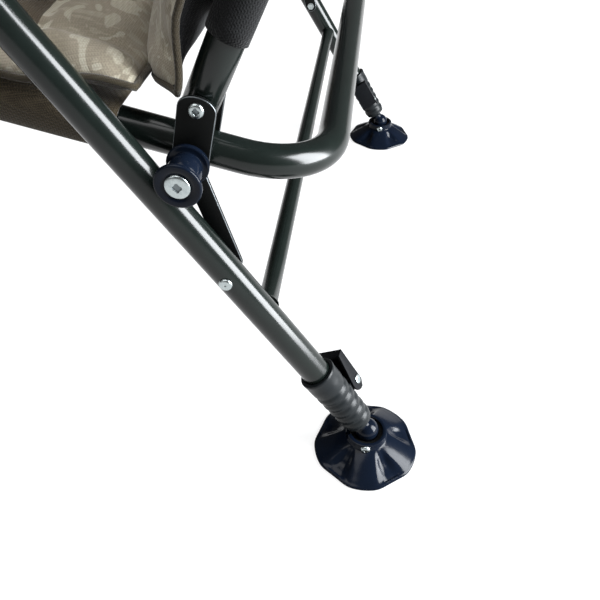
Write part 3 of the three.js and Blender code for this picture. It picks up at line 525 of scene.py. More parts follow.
def hex_nut(radius, height):
    """A lock nut about Z: a chamfered hexagon under a round collar."""
    sides, half_flat = 36, math.pi / 6

    def hexagon(r, z):
        out = []
        for a in angles(sides):
            wedge = (a + half_flat) % (2 * half_flat) - half_flat
            reach = min(radius * math.cos(half_flat) / math.cos(wedge), r)
            out.append((reach * math.cos(a), reach * math.sin(a), z))
        return out
    collar, bore = radius * 0.72, radius * 0.42
    rows = [hexagon(radius * 0.93, 0), hexagon(radius, 0.5), hexagon(radius, height * 0.62),
            hexagon(radius * 0.9, height * 0.72), hexagon(collar, height * 0.74),
            hexagon(collar, height * 0.94), hexagon(collar - 0.5, height), hexagon(bore, height),
            hexagon(bore, height * 0.8), hexagon(0.01, height * 0.8)]
    verts = [v for row in rows for v in row]
    return verts, grid_faces(len(rows), sides) + [tuple(range(sides))]


def headed(head, place, *others):
    """A bolt's head in its place, together with its other parts, which are all of kind 0."""
    verts, faces = merged((*head[:2], place), *others)
    return verts, faces, head[2] + [0] * (len(faces) - len(head[2]))


def stud(what, label, side, head_x, end_x, at, body, head, nut, recess):
    """A fastener from head_x to end_x: its head (radius, height, shank), its shank and any lock nut."""
    radius, height, shank = head
    parts = [lathe([(0, head_x), (shank, head_x), (shank, end_x), (0, end_x)], 20)]
    if nut:
        parts.append((*hex_nut(*nut), Matrix.Translation((0, 0, end_x)) @ Matrix.Rotation(math.pi, 4, "X")))
    verts, faces, kinds = headed(bolt_head(radius, height, radius * recess, height * 0.55),
                                 Matrix.Translation((0, 0, head_x)), *parts)
    # The head's recess, kind 1, takes the darker zinc as painted shade.
    piece(f"{what}_set_{label}", verts, faces, beside(side, at), body, ("zinc", "recess"), kinds, 35,
          (f"{what}_{label}",))


# Tubes
def end_plug(name, side, x, centre, outward, body):
    """A domed plastic plug in a tube's end; outward is the tube's direction there."""
    inner = TUBE - WALL - 0.15
    profile = [(0, 2.6), (4, 2.45), (7.5, 2.0), (10, 1.2), (TUBE - 0.5, 0.45), (TUBE - 0.2, 0.05),
               (inner, 0.0), (inner, -9), (inner - 0.8, -10), (0, -10)]
    turn = Vector((0, 0, 1)).rotation_difference(Vector((0, *outward)))
    place = WORLD @ Matrix.Translation((side * x, *centre)) @ turn.to_matrix().to_4x4()
    piece(name, *lathe(profile, 36), place, body, "lever", smooth=40)


def seat_ring():
    ring = [(RAIL_X, REAR_BAR, 0), (RAIL_X, FRONT_BAR, 0), (-RAIL_X, FRONT_BAR, 0), (-RAIL_X, REAR_BAR, 0)]
    piece("seat_ring_tube", *tube_mesh(ring, (0, 0, 1), closed=True), SEAT, "seat", "tube",
          replaces=("seat_frame",))


def back_hoop():
    corners = [(RAIL_X, 0, -9), (RAIL_X, 0, BACK_LENGTH), (-RAIL_X, 0, BACK_LENGTH), (-RAIL_X, 0, -9)]
    hoop = tube_mesh(corners, (0, 1, 0))
    lug, outer, sunk = stadium((0, ARM_UP), (ARM_BEHIND, ARM_UP), 18), RAIL_X + TUBE, 3.4
    lugs = [outline_prism(lug, side * (outer - sunk), side * outer, 0.4)[:2] for _, side in SIDES]
    piece("back_hoop_tube", *merged(hoop, *lugs), BACK, "backrest", "tube",
          replaces=("backrest_frame",))


def rear_leg(label, side):
    across = ARM_PIVOT[0] * math.sin(ARM_RISE) + (ARM_PIVOT[1] - BALL_Z) * math.cos(ARM_RISE)
    up = across / (UP_REAR[0] * math.sin(ARM_RISE) + UP_REAR[1] * math.cos(ARM_RISE))
    low = up_leg(REAR_BALL, UP_REAR, TUBE_FROM)
    corner = up_leg(REAR_BALL, UP_REAR, up)
    along_arm = (math.cos(ARM_RISE), -math.sin(ARM_RISE))
    back = up_leg(ARM_PIVOT, along_arm, PAST_BOLT)
    x = side * LEG_X
    tube = tube_mesh([(x, *low), (x, *corner), (x, *back)], (1, 0, 0), bend=ARM_BEND)
    piece(f"rear_leg_tube_{label}", *tube, WORLD, "rear_legs", "tube",
          replaces=(f"rear_leg_{label}",))
    end_plug(f"arm_end_plug_{label}", side, LEG_X, back, along_arm, "rear_legs")


def front_leg(label, side):
    x = side * FRONT_X
    low = up_leg(FRONT_BALL, UP_FRONT, TUBE_FROM)
    top = up_leg(FRONT_BALL, UP_FRONT, FRONT_LENGTH + PAST_BOLT)
    tube = tube_mesh([(x, *low), (x, *top)], (1, 0, 0))
    piece(f"front_leg_tube_{label}", *tube, WORLD, "front_legs", "tube",
          replaces=(f"front_leg_{label}",))
    end_plug(f"front_leg_plug_{label}", side, FRONT_X, top, UP_FRONT, "front_legs")


def brace(name, node, plane, ball, up, distance, body):
    """A thin cross tube with a bead of weld where it meets each leg."""
    radius, sunk, bead, cells = 8, 0.6, 3.4, 12
    reach = plane - TUBE + sunk
    weld = [(radius + 1.7, -reach), (radius + 1.5, -reach + 0.9), (radius + 0.5, -reach + 2.4),
            (radius, -reach + bead)]
    profile = weld + [(radius, -reach + bead + 2 * (reach - bead) * k / cells) for k in range(1, cells)]
    profile += [(r, -h) for r, h in reversed(weld)]
    tube = lathe([(0, -reach)] + profile + [(0, reach)], 28)
    piece(name, *tube, beside(1, up_leg(ball, up, distance)), body, "tube", replaces=(node,))


# Bracket, stop and link
RAIL_IN, RAIL_OUT = RAIL_X - TUBE - GAP, RAIL_X + TUBE + GAP
PLATE_OUT, PLATE_IN = RAIL_OUT + PLATE, RAIL_IN - PLATE
LINK_IN, LINK_OUT = PLATE_OUT + GAP, PLATE_OUT + GAP + PLATE
SPOOL_IN = LINK_OUT + GAP
SPOOL_OUT = SPOOL_IN + 30.8
PLATE_WIDTH, LINK_WIDTH = 26, 15.4


def plate_piece(name, node, outline, x0, x1, body):
    verts, faces, kinds = outline_prism(outline, x0, x1, 0.55)
    # The rounded edges, kind 1, take the painted edge highlight.
    piece(name, verts, faces, WORLD, body, ("steel", "edge"), kinds, 50, (node,))


def spool(label, side):
    """The waisted stop that the rear leg leans on, turned about its bolt: flange, ball, neck, flange."""
    bore, cells, fullest = 4.5, 20, 0.4
    from_leg = abs(STOP[0] * UP_REAR[1] - (STOP[1] - BALL_Z) * UP_REAR[0])
    ball = min(from_leg - TUBE - GAP, 11.9)
    near, far = SPOOL_IN + 4.4, SPOOL_OUT - 5.2
    profile = [(bore, SPOOL_IN), (14.0, SPOOL_IN), (14.6, SPOOL_IN + 0.5), (14.9, SPOOL_IN + 3.0),
               (14.9, SPOOL_IN + 3.7), (14.4, SPOOL_IN + 4.1), (13.6, SPOOL_IN + 4.2),
               (12.0, SPOOL_IN + 3.9), (10.6, near)]
    for k in range(1, cells + 1):
        share = k / cells
        away = (share - fullest) / (fullest if share < fullest else 1 - fullest)
        swell = ball * math.sqrt(1 - away * away * (0.3 if share < fullest else 0.7))
        profile.append((swell, near + (far - near) * share))
    neck = profile[-1][0]
    profile += [(neck + 0.8, far + 0.7), (neck + 3.0, far + 1.3), (14.6, far + 1.7), (15.8, far + 2.0),
                (16.2, far + 2.6), (16.1, SPOOL_OUT - 0.7), (15.4, SPOOL_OUT - 0.1), (14.6, SPOOL_OUT),
                (10.8, SPOOL_OUT - 0.2), (9.9, SPOOL_OUT - 0.9), (bore, SPOOL_OUT - 0.9),
                (bore, SPOOL_IN)]
    piece(f"stop_spool_turned_{label}", *lathe(profile, 64), beside(side, STOP), "seat", "gloss",
          smooth=50, replaces=(f"stop_spool_{label}",))


def bracket(label, side):
    outline = stadium(STOP, POST, PLATE_WIDTH, blunt=0.68)
    plate_piece(f"bracket_outer_{label}", f"bracket_plate_outer_{label}", outline,
                side * RAIL_OUT, side * PLATE_OUT, "seat")
    plate_piece(f"bracket_inner_{label}", f"bracket_plate_inner_{label}", outline,
                side * RAIL_IN, side * PLATE_IN, "seat")
    plate_piece(f"link_bar_{label}", f"link_arm_{label}", stadium(RIVET, STOP, LINK_WIDTH),
                side * LINK_IN, side * LINK_OUT, "link_arms")
    spool(label, side)
    leg_out, leg_in = LEG_X + TUBE, LEG_X - TUBE
    stud("stop_bolt", label, side, SPOOL_OUT - 0.9, PLATE_IN - GAP, STOP, "seat",
         (8.9, 1.9, 4), (7.4, 5.8), 0.34)
    stud("post_bolt", label, side, PLATE_OUT + 0.1, PLATE_IN - GAP, POST, "seat",
         (5.4, 2.8, 3), (5.8, 4.8), 0.42)
    stud("link_rivet", label, side, leg_out - 0.2, LINK_IN - 0.2, RIVET, "rear_legs",
         (5.3, 2.3, 3), (5.0, 2.0), 0.12)
    stud("arm_bolt", label, side, leg_out - 0.1, leg_in - 0.2, ARM_PIVOT, "rear_legs",
         (6.4, 3.0, 3), None, 0.42)
    bore, rim, radius = 3.2, 6.6, 7
    bush = lathe([(bore, leg_in + 0.4), (rim, leg_in + 0.4), (radius, leg_in), (radius, RAIL_OUT + 0.4),
                  (rim, RAIL_OUT), (bore, RAIL_OUT), (bore, leg_in + 0.4)], 36)
    piece(f"arm_bush_{label}", *bush, beside(side, ARM_PIVOT), "rear_legs", "gloss", smooth=40)


def front_hinge(label, side):
    outline = stadium(FRONT_PIVOT, on_seat(HINGE_AT, 0), PLATE_WIDTH)
    plate_piece(f"front_hinge_{label}", f"front_hinge_plate_{label}", outline,
                side * PLATE_IN, side * RAIL_IN, "seat")
    stud("front_bolt", label, -side, -(FRONT_X - TUBE - 0.1), -(RAIL_IN + 0.2), FRONT_PIVOT, "seat",
         (7, 3.2, 4), (7.2, 5.6), 0.42)


# Leg ends
def clamp_sleeve(end, where, side):
    """Moulded rubber-like sleeve: lip at the top, soft ribs, a nose round the ball's neck, two ears."""
    outside = [(11.3, 16.9), (12.6, 16.7), (13.6, 17.6)]
    ribs, cells, low, high, rib_depth = 5, 10, 18.5, 70.0, 1.0
    for k in range(ribs * cells + 1):
        z = low + (high - low) * k / (ribs * cells)
        base = 14.4 + 1.7 * (z - 18) / 73
        swell = 0.5 - 0.5 * math.cos(2 * math.pi * k / cells)
        outside.append((base + 0.15 - rib_depth * (1 - swell) ** 1.6, z))
    outside += [(15.75, 73), (15.95, 80), (16.0, 87), (16.35, 88.2), (16.45, 89.8), (16.1, 90.8),
                (15.2, 91), (13.4, 91), (12.85, 90.2), (12.75, 86), (12.75, TUBE_FROM), (10.95, 33.6),
                (10.95, 17.3), (11.3, 16.9)]
    ear = [(12.6, 44.4), (18.0, 44.4), (22.2, 44.3), (24.7, 45.4), (25.7, 47.8), (24.7, 50.2),
           (22.2, 51.3), (18.0, 51.9), (12.6, 53.6)]
    ears = [outline_prism(ear, s * 3.0, s * 9.4, 0.7)[:2] for s in (-1, 1)]
    piece(f"sleeve_{where}", *merged(lathe(outside, 56), *ears), clamp_frame(end, side),
          f"{end}_legs", "rubber", smooth=40, replaces=(f"clamp_sleeve_{where}",))


def clamp_lever(end, where, side):
    """A channel-shaped lever: two flanks with a round heel on the pin, a back plate and an end wall."""
    heel, top, half, cells = 10.0, 82.0, 12.0, 14
    foot = LEVER_PIN[1] - 6.0
    flank = [(30.7, top), (22.6, top)]
    for k in range(cells + 1):
        a = math.radians(165 + 105 * k / cells)
        flank.append((LEVER_PIN[0] + heel * math.cos(a), LEVER_PIN[1] + heel * math.sin(a)))
    flank += [(26.4, foot - 0.2), (27.4, foot + 0.8)]
    back = [(27.3, foot + 0.4), (30.6, top - 0.2), (28.6, top - 0.2), (25.3, foot + 0.4)]
    wall = [(22.7, top), (30.5, top), (30.2, top - 3), (22.7, top - 3)]
    web = [(26.0, 57.0), (27.6, 79.5), (23.4, 79.5), (21.8, 60.0)]
    parts = [outline_prism(flank, s * (half - 2), s * half, 0.5)[:2] for s in (-1, 1)]
    for outline, reach, bevel in ((back, half - 0.1, 0.4), (wall, half - 0.1, 0.5), (web, 0.9, 0.25)):
        parts.append(outline_prism(outline, -reach, reach, bevel)[:2])
    piece(f"lever_{where}", *merged(*parts), clamp_frame(end, side), f"clamp_{where}", "lever",
          smooth=45, replaces=(f"clamp_lever_{where}",))
    pin, pin_head, length = 2, 4.2, 24.2
    head = bolt_head(pin_head, 0.9, 0.9, 0.3, sides=32, dome=0.4)
    rod = lathe([(0, 0), (pin, 0), (pin, -length), (0, -length)], 24)
    tail = lathe([(0, -length - 0.9), (3.0, -length - 0.9), (4.0, -length - 0.6), (pin_head, -length),
                  (0, -length)], 32)
    verts, faces, kinds = headed(head, Matrix(), rod, tail)
    place = clamp_frame(end, side) @ Matrix.Translation((half + 0.1, *LEVER_PIN)) @ along_x(1)
    # The pin head's recess, kind 1, takes the darker zinc as painted shade.
    piece(f"lever_pin_set_{where}", verts, faces, place, f"{end}_legs", ("zinc", "recess"), kinds, 40,
          (f"lever_pin_{where}",))


def inner_leg(end, where, side):
    """The sliding inner leg, its shoulder, neck and the ball that the foot turns on."""
    neck_from, gloss_to, radius, length, cells = 8.6, 12, 10.3, 152, 16
    profile = []
    for k in range(cells + 1):
        a = math.pi - (math.pi - math.acos(neck_from / BALL)) * k / cells
        profile.append((BALL * math.sin(a) if k else 0, BALL * math.cos(a)))
    profile += [(6.9, 9.4), (6.8, 12.2), (7.2, 13.4), (8.6, 14.9), (9.8, 15.9), (radius, 16.9),
                (radius, 60), (radius, 110), (radius, length - 0.6), (radius - 0.6, length), (0, length)]
    verts, faces = lathe(profile, 44)
    kinds = [1 if sum(verts[i][2] for i in f) / len(f) < gloss_to else 0 for f in faces]
    piece(f"ball_leg_{where}", verts, faces, leg_frame(end, side), f"telescope_{where}", ("rubber", "gloss"),
          kinds, 40, replaces=(f"inner_leg_{where}",))


# The foot's lobes, and the slot in its ring: its place round the foot, half its width, its floor
LOBES = 5
SLOT_AT, SLOT_HALF, SLOT_FLOOR = math.radians(282), math.radians(13), 17.5
RING_IN, RING_OUT = 15.2, 19.2
CUP = 11.7


def foot_row(r, z, swell=0.0, sink=0.0, arch=0.0):
    """One ring of the foot: pushed out at the lobes, sunk in the pointed recesses between them."""
    out = []
    for a in angles(LOBES * 48):
        off_lobe = abs((a * LOBES / (2 * math.pi) + 0.5) % 1 - 0.5) * 2
        rr = r + swell * (1 - 2.4 * smooth_step((off_lobe - 0.35) / 0.6))
        inside = smooth_step((off_lobe - (1 - arch)) / (arch * 0.8)) if arch else 0.0
        out.append((rr * math.cos(a), rr * math.sin(a), z - sink * inside))
    return out


def mud_foot(end, where, side):
    """Dish of five broad lobes, with an open split ring round the ball's cup."""
    rows = [foot_row(*r) for r in (
        (0.01, 0), (30, 0), (45.2, 0), (46.6, 0.3, 0.8), (48.0, 0.9, 1.0), (48.5, 1.8, 1.0),
        (48.2, 2.8, 1.0), (47.3, 3.6, 0.9), (46.2, 4.1, 0.8))]
    slope = [(44.6, 5.1), (42.4, 6.5), (40.0, 8.0), (37.4, 9.7), (34.8, 11.4), (32.2, 13.0), (29.8, 14.5),
             (27.6, 15.8), (25.4, 17.0), (23.4, 18.0), (21.6, 18.9), (20.2, 19.5)]
    inmost, outmost = slope[-1][0], slope[0][0]
    for r, z in slope:
        out = (r - inmost) / (outmost - inmost)
        sink = 4.4 * smooth_step(out / 0.4) * (1 - 0.62 * smooth_step((out - 0.55) / 0.45))
        rows.append(foot_row(r, z, 0.9 * out, sink, 0.34 + 0.28 * out))
    rows += [foot_row(*r) for r in (
        (19.4, 20.0), (19.0, 20.8), (18.9, 26.6), (18.7, 27.3),
        (18.1, 27.6), (16.1, 27.6), (15.5, 27.3), (15.3, 26.6), (15.3, 24.4), (14.9, 24.0), (12.0, 24.0),
        (11.3, 23.8))]
    first_inside = len(rows) - 6
    mouth, cells = math.atan2(11.0, 4.0), 8
    for k in range(1, cells + 1):
        t = mouth * (1 - k / cells)
        rows.append(foot_row(max(0.01, CUP * math.sin(t)), BALL_Z - CUP * math.cos(t)))
    verts = []
    for x, y, z in (v for row in rows for v in row):
        off = abs((math.atan2(y, x) - SLOT_AT + math.pi) % (2 * math.pi) - math.pi)
        if RING_IN < math.hypot(x, y) < RING_OUT and z > SLOT_FLOOR and off < SLOT_HALF:
            z = SLOT_FLOOR + (z - SLOT_FLOOR) * 0.25 * smooth_step((off / SLOT_HALF - 0.6) / 0.4)
        verts.append((x, y, z))
    around = len(rows[0])
    faces = grid_faces(len(rows), around)
    # Inside the ring and the cup, kind 1, is near black: painted shade.
    kinds = [1 if i >= first_inside else 0 for i in range(len(rows) - 1) for _ in range(around)]
    piece(f"foot_dish_{where}", verts, faces, foot_frame(end, side), f"foot_{where}", ("gloss", "dark"),
          kinds, 38, (f"mud_foot_{where}",))
    head = bolt_head(4.6, 2.4, 1.5, 1.0, sides=36, dome=0.7)
    rod = lathe([(0, 0), (1.7, 0), (1.7, -4.8), (0, -5)], 20)
    verts, faces, kinds = headed(head, Matrix(), rod)
    place = foot_frame(end, side) @ Matrix.Translation((19.0, 0, 22.6)) @ along_x(1)
    # The screw's recess, kind 1, is near black: painted shade.
    piece(f"foot_screw_set_{where}", verts, faces, place, f"foot_{where}", ("zinc", "dark"), kinds, 40,
          (f"foot_screw_{where}",))


# Soft pieces
# A cushion's half width, its side seams, and its piping's radius
SIDE, SEAM_X = 292.0, 268.0
PIPING = 2.5


def bell(t, width):
    return math.exp(-(t / width) ** 2)


def rise(distance, reach):
    """From 0 at a sewn edge to 1 where the cloth is full, reach millimetres in."""
    return 1 - (1 - min(1.0, max(0.0, distance) / reach)) ** 2.4


def underside(t, edge, lie):
    """Height of a cushion's lower cloth: up to the piping at its edge, and flat further in."""
    return lie + (edge - lie) * (1 - min(1.0, t / 42)) ** 2 * 0.9


def piping(name, points, matrix, body):
    """A thin round cord along a closed line of points."""
    pts = [Vector(p) for p in points]
    count, sides = len(pts), 10
    verts = []
    for i, p in enumerate(pts):
        t = (pts[(i + 1) % count] - pts[i - 1]).normalized()
        up = Vector((0, 0, 1)) if abs(t.z) < 0.9 else Vector((0, 1, 0))
        a = t.cross(up).normalized()
        b = a.cross(t).normalized()
        verts += [p + (a * math.cos(w) + b * math.sin(w)) * PIPING for w in angles(sides)]
    return piece(name, verts, ring_faces(count, sides), matrix, body, "piping", smooth=80)


def applied(obj):
    """Puts an object's modifiers into its mesh."""
    graph = bpy.context.evaluated_depsgraph_get()
    made = bpy.data.meshes.new_from_object(obj.evaluated_get(graph), depsgraph=graph)
    old = obj.data
    obj.modifiers.clear()
    obj.data = made
    made.name = old.name


def inflate(obj, pinned):
    """Cloth under pressure between its sewn lines, with how far a point moves kept to cap metres."""
    cap, pressure, slack, frames = 0.007, 4.0, 0.02, 20
    start = np.array([v.co for v in obj.data.vertices])
    group = obj.vertex_groups.new(name="sewn")
    group.add([int(i) for i in pinned], 1.0, "REPLACE")
    cloth = obj.modifiers.new("Cloth", "CLOTH")
    for key, value in (("quality", 6), ("mass", 0.3), ("tension_stiffness", 18),
                       ("compression_stiffness", 18), ("shear_stiffness", 10), ("bending_stiffness", 0.6),
                       ("vertex_group_mass", "sewn"), ("pin_stiffness", 1.0), ("use_pressure", True),
                       ("uniform_pressure_force", pressure), ("shrink_min", -slack)):
        setattr(cloth.settings, key, value)
    cloth.settings.effector_weights.gravity = 0.0
    cloth.collision_settings.use_collision = False
    cloth.point_cache.frame_start = 1
    cloth.point_cache.frame_end = frames
    scene = bpy.context.scene
    for k in range(1, frames + 1):
        scene.frame_set(k)
    graph = bpy.context.evaluated_depsgraph_get()
    mesh = obj.evaluated_get(graph).to_mesh()
    end = np.array([v.co for v in mesh.vertices])
    obj.evaluated_get(graph).to_mesh_clear()
    obj.modifiers.remove(cloth)
    scene.frame_set(1)
    move = end - start
    far = np.linalg.norm(move, axis=1, keepdims=True)
    move *= np.minimum(1.0, cap / np.maximum(far, 1e-9))
    obj.data.vertices.foreach_set("co", (start + move).astype(np.float32).ravel())
    obj.data.update()


def stations(*runs):
    """Places along a line from (from, to, cells) runs that join end to end."""
    out = [runs[0][0]]
    for a, b, cells in runs:
        out += [a + (b - a) * k / cells for k in range(1, cells + 1)]
    return out


def cushion(name, half, ys, upper, lower, frame_, body, mats, node, seams):
    """A stuffed cushion: an upper and a lower sheet that meet along the piping.

    mats are those of the border, the middle panel and the lower sheet."""
    xs = stations((-half, -SEAM_X, 5), (-SEAM_X, SEAM_X, 66), (SEAM_X, half, 5))
    nx, ny = len(xs), len(ys)
    verts, top, low = [], {}, {}
    for j, y in enumerate(ys):
        for i, x in enumerate(xs):
            top[i, j] = len(verts)
            verts.append(upper(x, y))
    for j, y in enumerate(ys):
        for i, x in enumerate(xs):
            if i in (0, nx - 1) or j in (0, ny - 1):
                low[i, j] = top[i, j]
            else:
                low[i, j] = len(verts)
                verts.append(lower(x, y))
    faces, kinds = [], []
    for j in range(ny - 1):
        for i in range(nx - 1):
            x, y = (xs[i] + xs[i + 1]) / 2, (ys[j] + ys[j + 1]) / 2
            faces.append((top[i, j], top[i + 1, j], top[i + 1, j + 1], top[i, j + 1]))
            kinds.append(1 if abs(x) < SEAM_X and min(seams) < y < max(seams) else 0)
            faces.append((low[i, j], low[i, j + 1], low[i + 1, j + 1], low[i + 1, j]))
            kinds.append(2)
    pinned = [top[i, j] for i in range(nx) for j in range(ny)
              if i in (0, nx - 1) or j in (0, ny - 1)
              or abs(abs(xs[i]) - SEAM_X) < 0.1 or any(abs(ys[j] - s) < 0.1 for s in seams)]
    pinned += [k for key, k in low.items() if k != top[key]]
    count = len(verts)
    obj = piece(name, verts, faces, frame_, body, mats, kinds, 180, (node,))
    assert len(obj.data.vertices) == count, name
    inflate(obj, pinned)
    sub = obj.modifiers.new("Sub", "SUBSURF")
    sub.levels = sub.render_levels = 1
    applied(obj)
    crumple(obj, frame_)
    edge = [verts[top[i, 0]] for i in range(nx)]
    edge += [verts[top[nx - 1, j]] for j in range(1, ny)]
    edge += [verts[top[i, ny - 1]] for i in range(nx - 2, -1, -1)]
    edge += [verts[top[0, j]] for j in range(ny - 2, 0, -1)]
    for part in (obj, piping(f"{name}_piping", edge, frame_, body)):
        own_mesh(part)


def crumple(obj, frame_):
    """Small slack folds in cloth, along its normals; the same every time."""
    mesh = obj.data
    back = frame_.inverted()
    for v, n in zip(mesh.vertices, [tuple(n.vector) for n in mesh.vertex_normals]):
        p = back @ v.co
        q = Vector((p.x / 34, p.y / 46, p.z / 34))
        fold = noise.noise(q) * 0.8 + noise.noise(q * 2.7 + Vector((7, 3, 5))) * 0.35
        v.co += Vector(n) * fold * 1.1 * MM
    mesh.update()


# The seat cushion's ends, its cross seams, and the height that it lies at
SEAT_FROM, SEAT_TO = -181.4, -636.9
SEAT_SEAMS = (-254.0, -545.0)
SEAT_LIE = 15.9


def seat_piping(x, a):
    """Height of the seat cushion's piping: it lifts off the rail towards the rear."""
    return 21.5 + 15.5 * smooth_step((a + 262) / 62) - 1.5 * smooth_step((SEAM_X - abs(x)) / 60)


def seat_top(x, a):
    t, tr, tf = SIDE - abs(x), SEAT_FROM - a, a - SEAT_TO
    edge = seat_piping(x, a)
    full = 52.0 + 9.0 * (1 - math.exp(-max(0.0, t - 24) / 80)) + 2.0 * (1 - math.exp(-max(0, tr) / 60))
    h = edge + (full - edge) * rise(t, 25) * rise(tr, 26) * rise(tf, 34)
    h -= 5.0 * bell(t - 24, 3.6) * rise(tr, 26) * rise(tf, 30)
    for s in SEAT_SEAMS:
        h -= 6.0 * bell(a - s, 6.0) * rise(t, 40)
    pucker = 0.56 * math.sin(a / 17.0) * bell(t - 12, 9)
    return (x, a, h + pucker)


def seat_low(x, a):
    t = min(SIDE - abs(x), SEAT_FROM - a, a - SEAT_TO)
    return (x, a, underside(t, seat_piping(x, a), SEAT_LIE))


def seat_cushion():
    ys = stations((SEAT_FROM, -207, 5), (-207, SEAT_SEAMS[0], 6), (*SEAT_SEAMS, 36),
                  (SEAT_SEAMS[1], -607, 8), (-607, SEAT_TO, 5))
    cushion("seat_pad", SIDE, ys, seat_top, seat_low, SEAT, "seat", ("camo", "plain", "twill"),
            "seat_cushion", SEAT_SEAMS)


# The back cushion's, measured up the posts; FOLD_UP and FOLD_IN are the reach of the fold at each
# lower corner, and CHIN is how far the full front hangs there
BACK_FROM, BACK_TO = 2.0, 567.0
BACK_SEAMS = (128.0, 300.0, 472.0)
BACK_LIE = 15.8
BACK_SIDE = SIDE - 4
FOLD_UP, FOLD_IN = 66.0, 38.0
CHIN = 20.0
UPRIGHT = BACK @ Matrix(((1, 0, 0, 0), (0, 0, -1, 0), (0, 1, 0, 0), (0, 0, 0, 1)))


def back_corner(x):
    return smooth_step((abs(x) - 258) / 34)


def back_droop(x, up, reach):
    """How far the lower edge hangs between the corners."""
    return (1 - back_corner(x)) * 11.0 * (1 - min(1.0, up / reach)) ** 1.5


def back_edge(x, a):
    """Where the piping runs: it goes round to the rear at each lower corner."""
    side = 15.0 + 16.0 * smooth_step(a / 52)
    low = 36.0 - 21.0 * back_corner(x)
    near = smooth_step(1 - a / 40)
    return side if BACK_SIDE - abs(x) < 1 else low * near + side * (1 - near)


def back_top(x, a):
    t, lo, hi = BACK_SIDE - abs(x), a - BACK_FROM, BACK_TO - a
    full = 46.0 + 10.0 * (1 - math.exp(-max(0.0, t - 24) / 80))
    edge = back_edge(x, a)
    ear = max(0.0, (FOLD_UP - lo) / FOLD_UP) * FOLD_IN
    crest = min(1.0, ear / FOLD_IN)
    side = t / FOLD_IN if t < ear else crest + (1 - crest) * rise(t - ear, 25)
    h = edge + (full - edge) * side * rise(lo, 20) * rise(hi, 34)
    h -= 5.0 * bell(t - 20, 3.6) * smooth_step((lo - 90) / 40) * rise(hi, 30)
    for s in BACK_SEAMS:
        h -= 6.0 * bell(a - s, 6.0) * rise(t, 40)
    chin = CHIN * side * rise(lo, 20) * (1 - min(1.0, lo / 90)) * smooth_step((abs(x) - 190) / 60)
    round_top = 1 - 0.06 * (max(0, (abs(x) - 200) / 92) ** 3) * (max(0.0, (a - 470) / 97)) ** 3
    return (x * round_top, a - back_droop(x, lo, 34) - chin, h)


def back_low(x, a):
    lo = a - BACK_FROM
    t = min(BACK_SIDE - abs(x), lo, BACK_TO - a)
    return (x, a - back_droop(x, lo, 24), underside(t, back_edge(x, a), BACK_LIE))


def back_cushion():
    ys = stations((BACK_FROM, 30, 6), (30, BACK_SEAMS[0], 12), (*BACK_SEAMS[:2], 21),
                  (*BACK_SEAMS[1:], 21), (BACK_SEAMS[2], 536, 8), (536, BACK_TO, 5))
    cushion("back_pad", BACK_SIDE, ys, back_top, back_low, UPRIGHT, "backrest", ("camo", "plain", "black"),
            "backrest_cushion", BACK_SEAMS)


def cloth_sheet(name, around, height, start, length, cells, frame_, body, mat, node, gap_at=None):
    """A sling swept along the rails: around is its (x, height) path from the hem round a rail.

    gap_at is where it is cut away on the outside of the rails, for the arm's lug."""
    thickness, gap_half, rail_points = 1.5, 22, 13
    right = around + [(RAIL_X * s, height) for s in (0.94, 0.85, 0.7, 0.55, 0.4, 0.25, 0.12, 0.0)]
    profile = right + [(-x, h) for x, h in right[-2::-1]]
    ys = [start + length * k / cells for k in range(cells + 1)]
    verts, faces = [], []
    n = len(profile)
    for y in ys:
        for k, (x, h) in enumerate(profile):
            ripple = 0.25 * math.sin(y / 23.0 + k * 0.35) * math.sin(k * math.pi / (n - 1))
            verts.append((x, y, h + ripple))
    for j in range(len(ys) - 1):
        cut = gap_at is not None and abs((ys[j] + ys[j + 1]) / 2 - gap_at) < gap_half
        for k in range(rail_points if cut else 0, n - 1 - rail_points if cut else n - 1):
            faces.append((j * n + k, j * n + k + 1, (j + 1) * n + k + 1, (j + 1) * n + k))
    obj = piece(name, verts, faces, frame_, body, mat, smooth=70, replaces=(node,))
    solid = obj.modifiers.new("Solid", "SOLIDIFY")
    solid.thickness = thickness * MM
    solid.offset = 0.0
    applied(obj)


def seat_sling():
    start, length = -194.4, -328
    radius, cells = 14.2, 16
    hem = [(RAIL_X - 10.5, -11.8), (RAIL_X - 8.0, -15.6), (RAIL_X - 4.0, -18.8)]
    around = []
    for k in range(cells, -1, -1):
        a = math.radians(90 - 175 * k / cells)
        drop = 5.5 * smooth_step((-math.sin(a)) * 1.1)
        around.append((RAIL_X + radius * math.cos(a), radius * math.sin(a) - drop))
    cloth_sheet("seat_sling_cloth", hem + around, radius, start, length, 40, SEAT, "seat", "twill",
                "seat_sling")


def back_sling():
    start, length = 48, 432
    radius, cells = 14.0, 16
    turns = [math.radians(165 * (1 - k / cells)) for k in range(cells + 1)]
    around = [(RAIL_X + radius * math.sin(t), radius * math.cos(t)) for t in turns]
    cloth_sheet("back_sling_cloth", around, radius, start, length, 48, UPRIGHT, "backrest", "black",
                "backrest_sling", gap_at=ARM_UP)


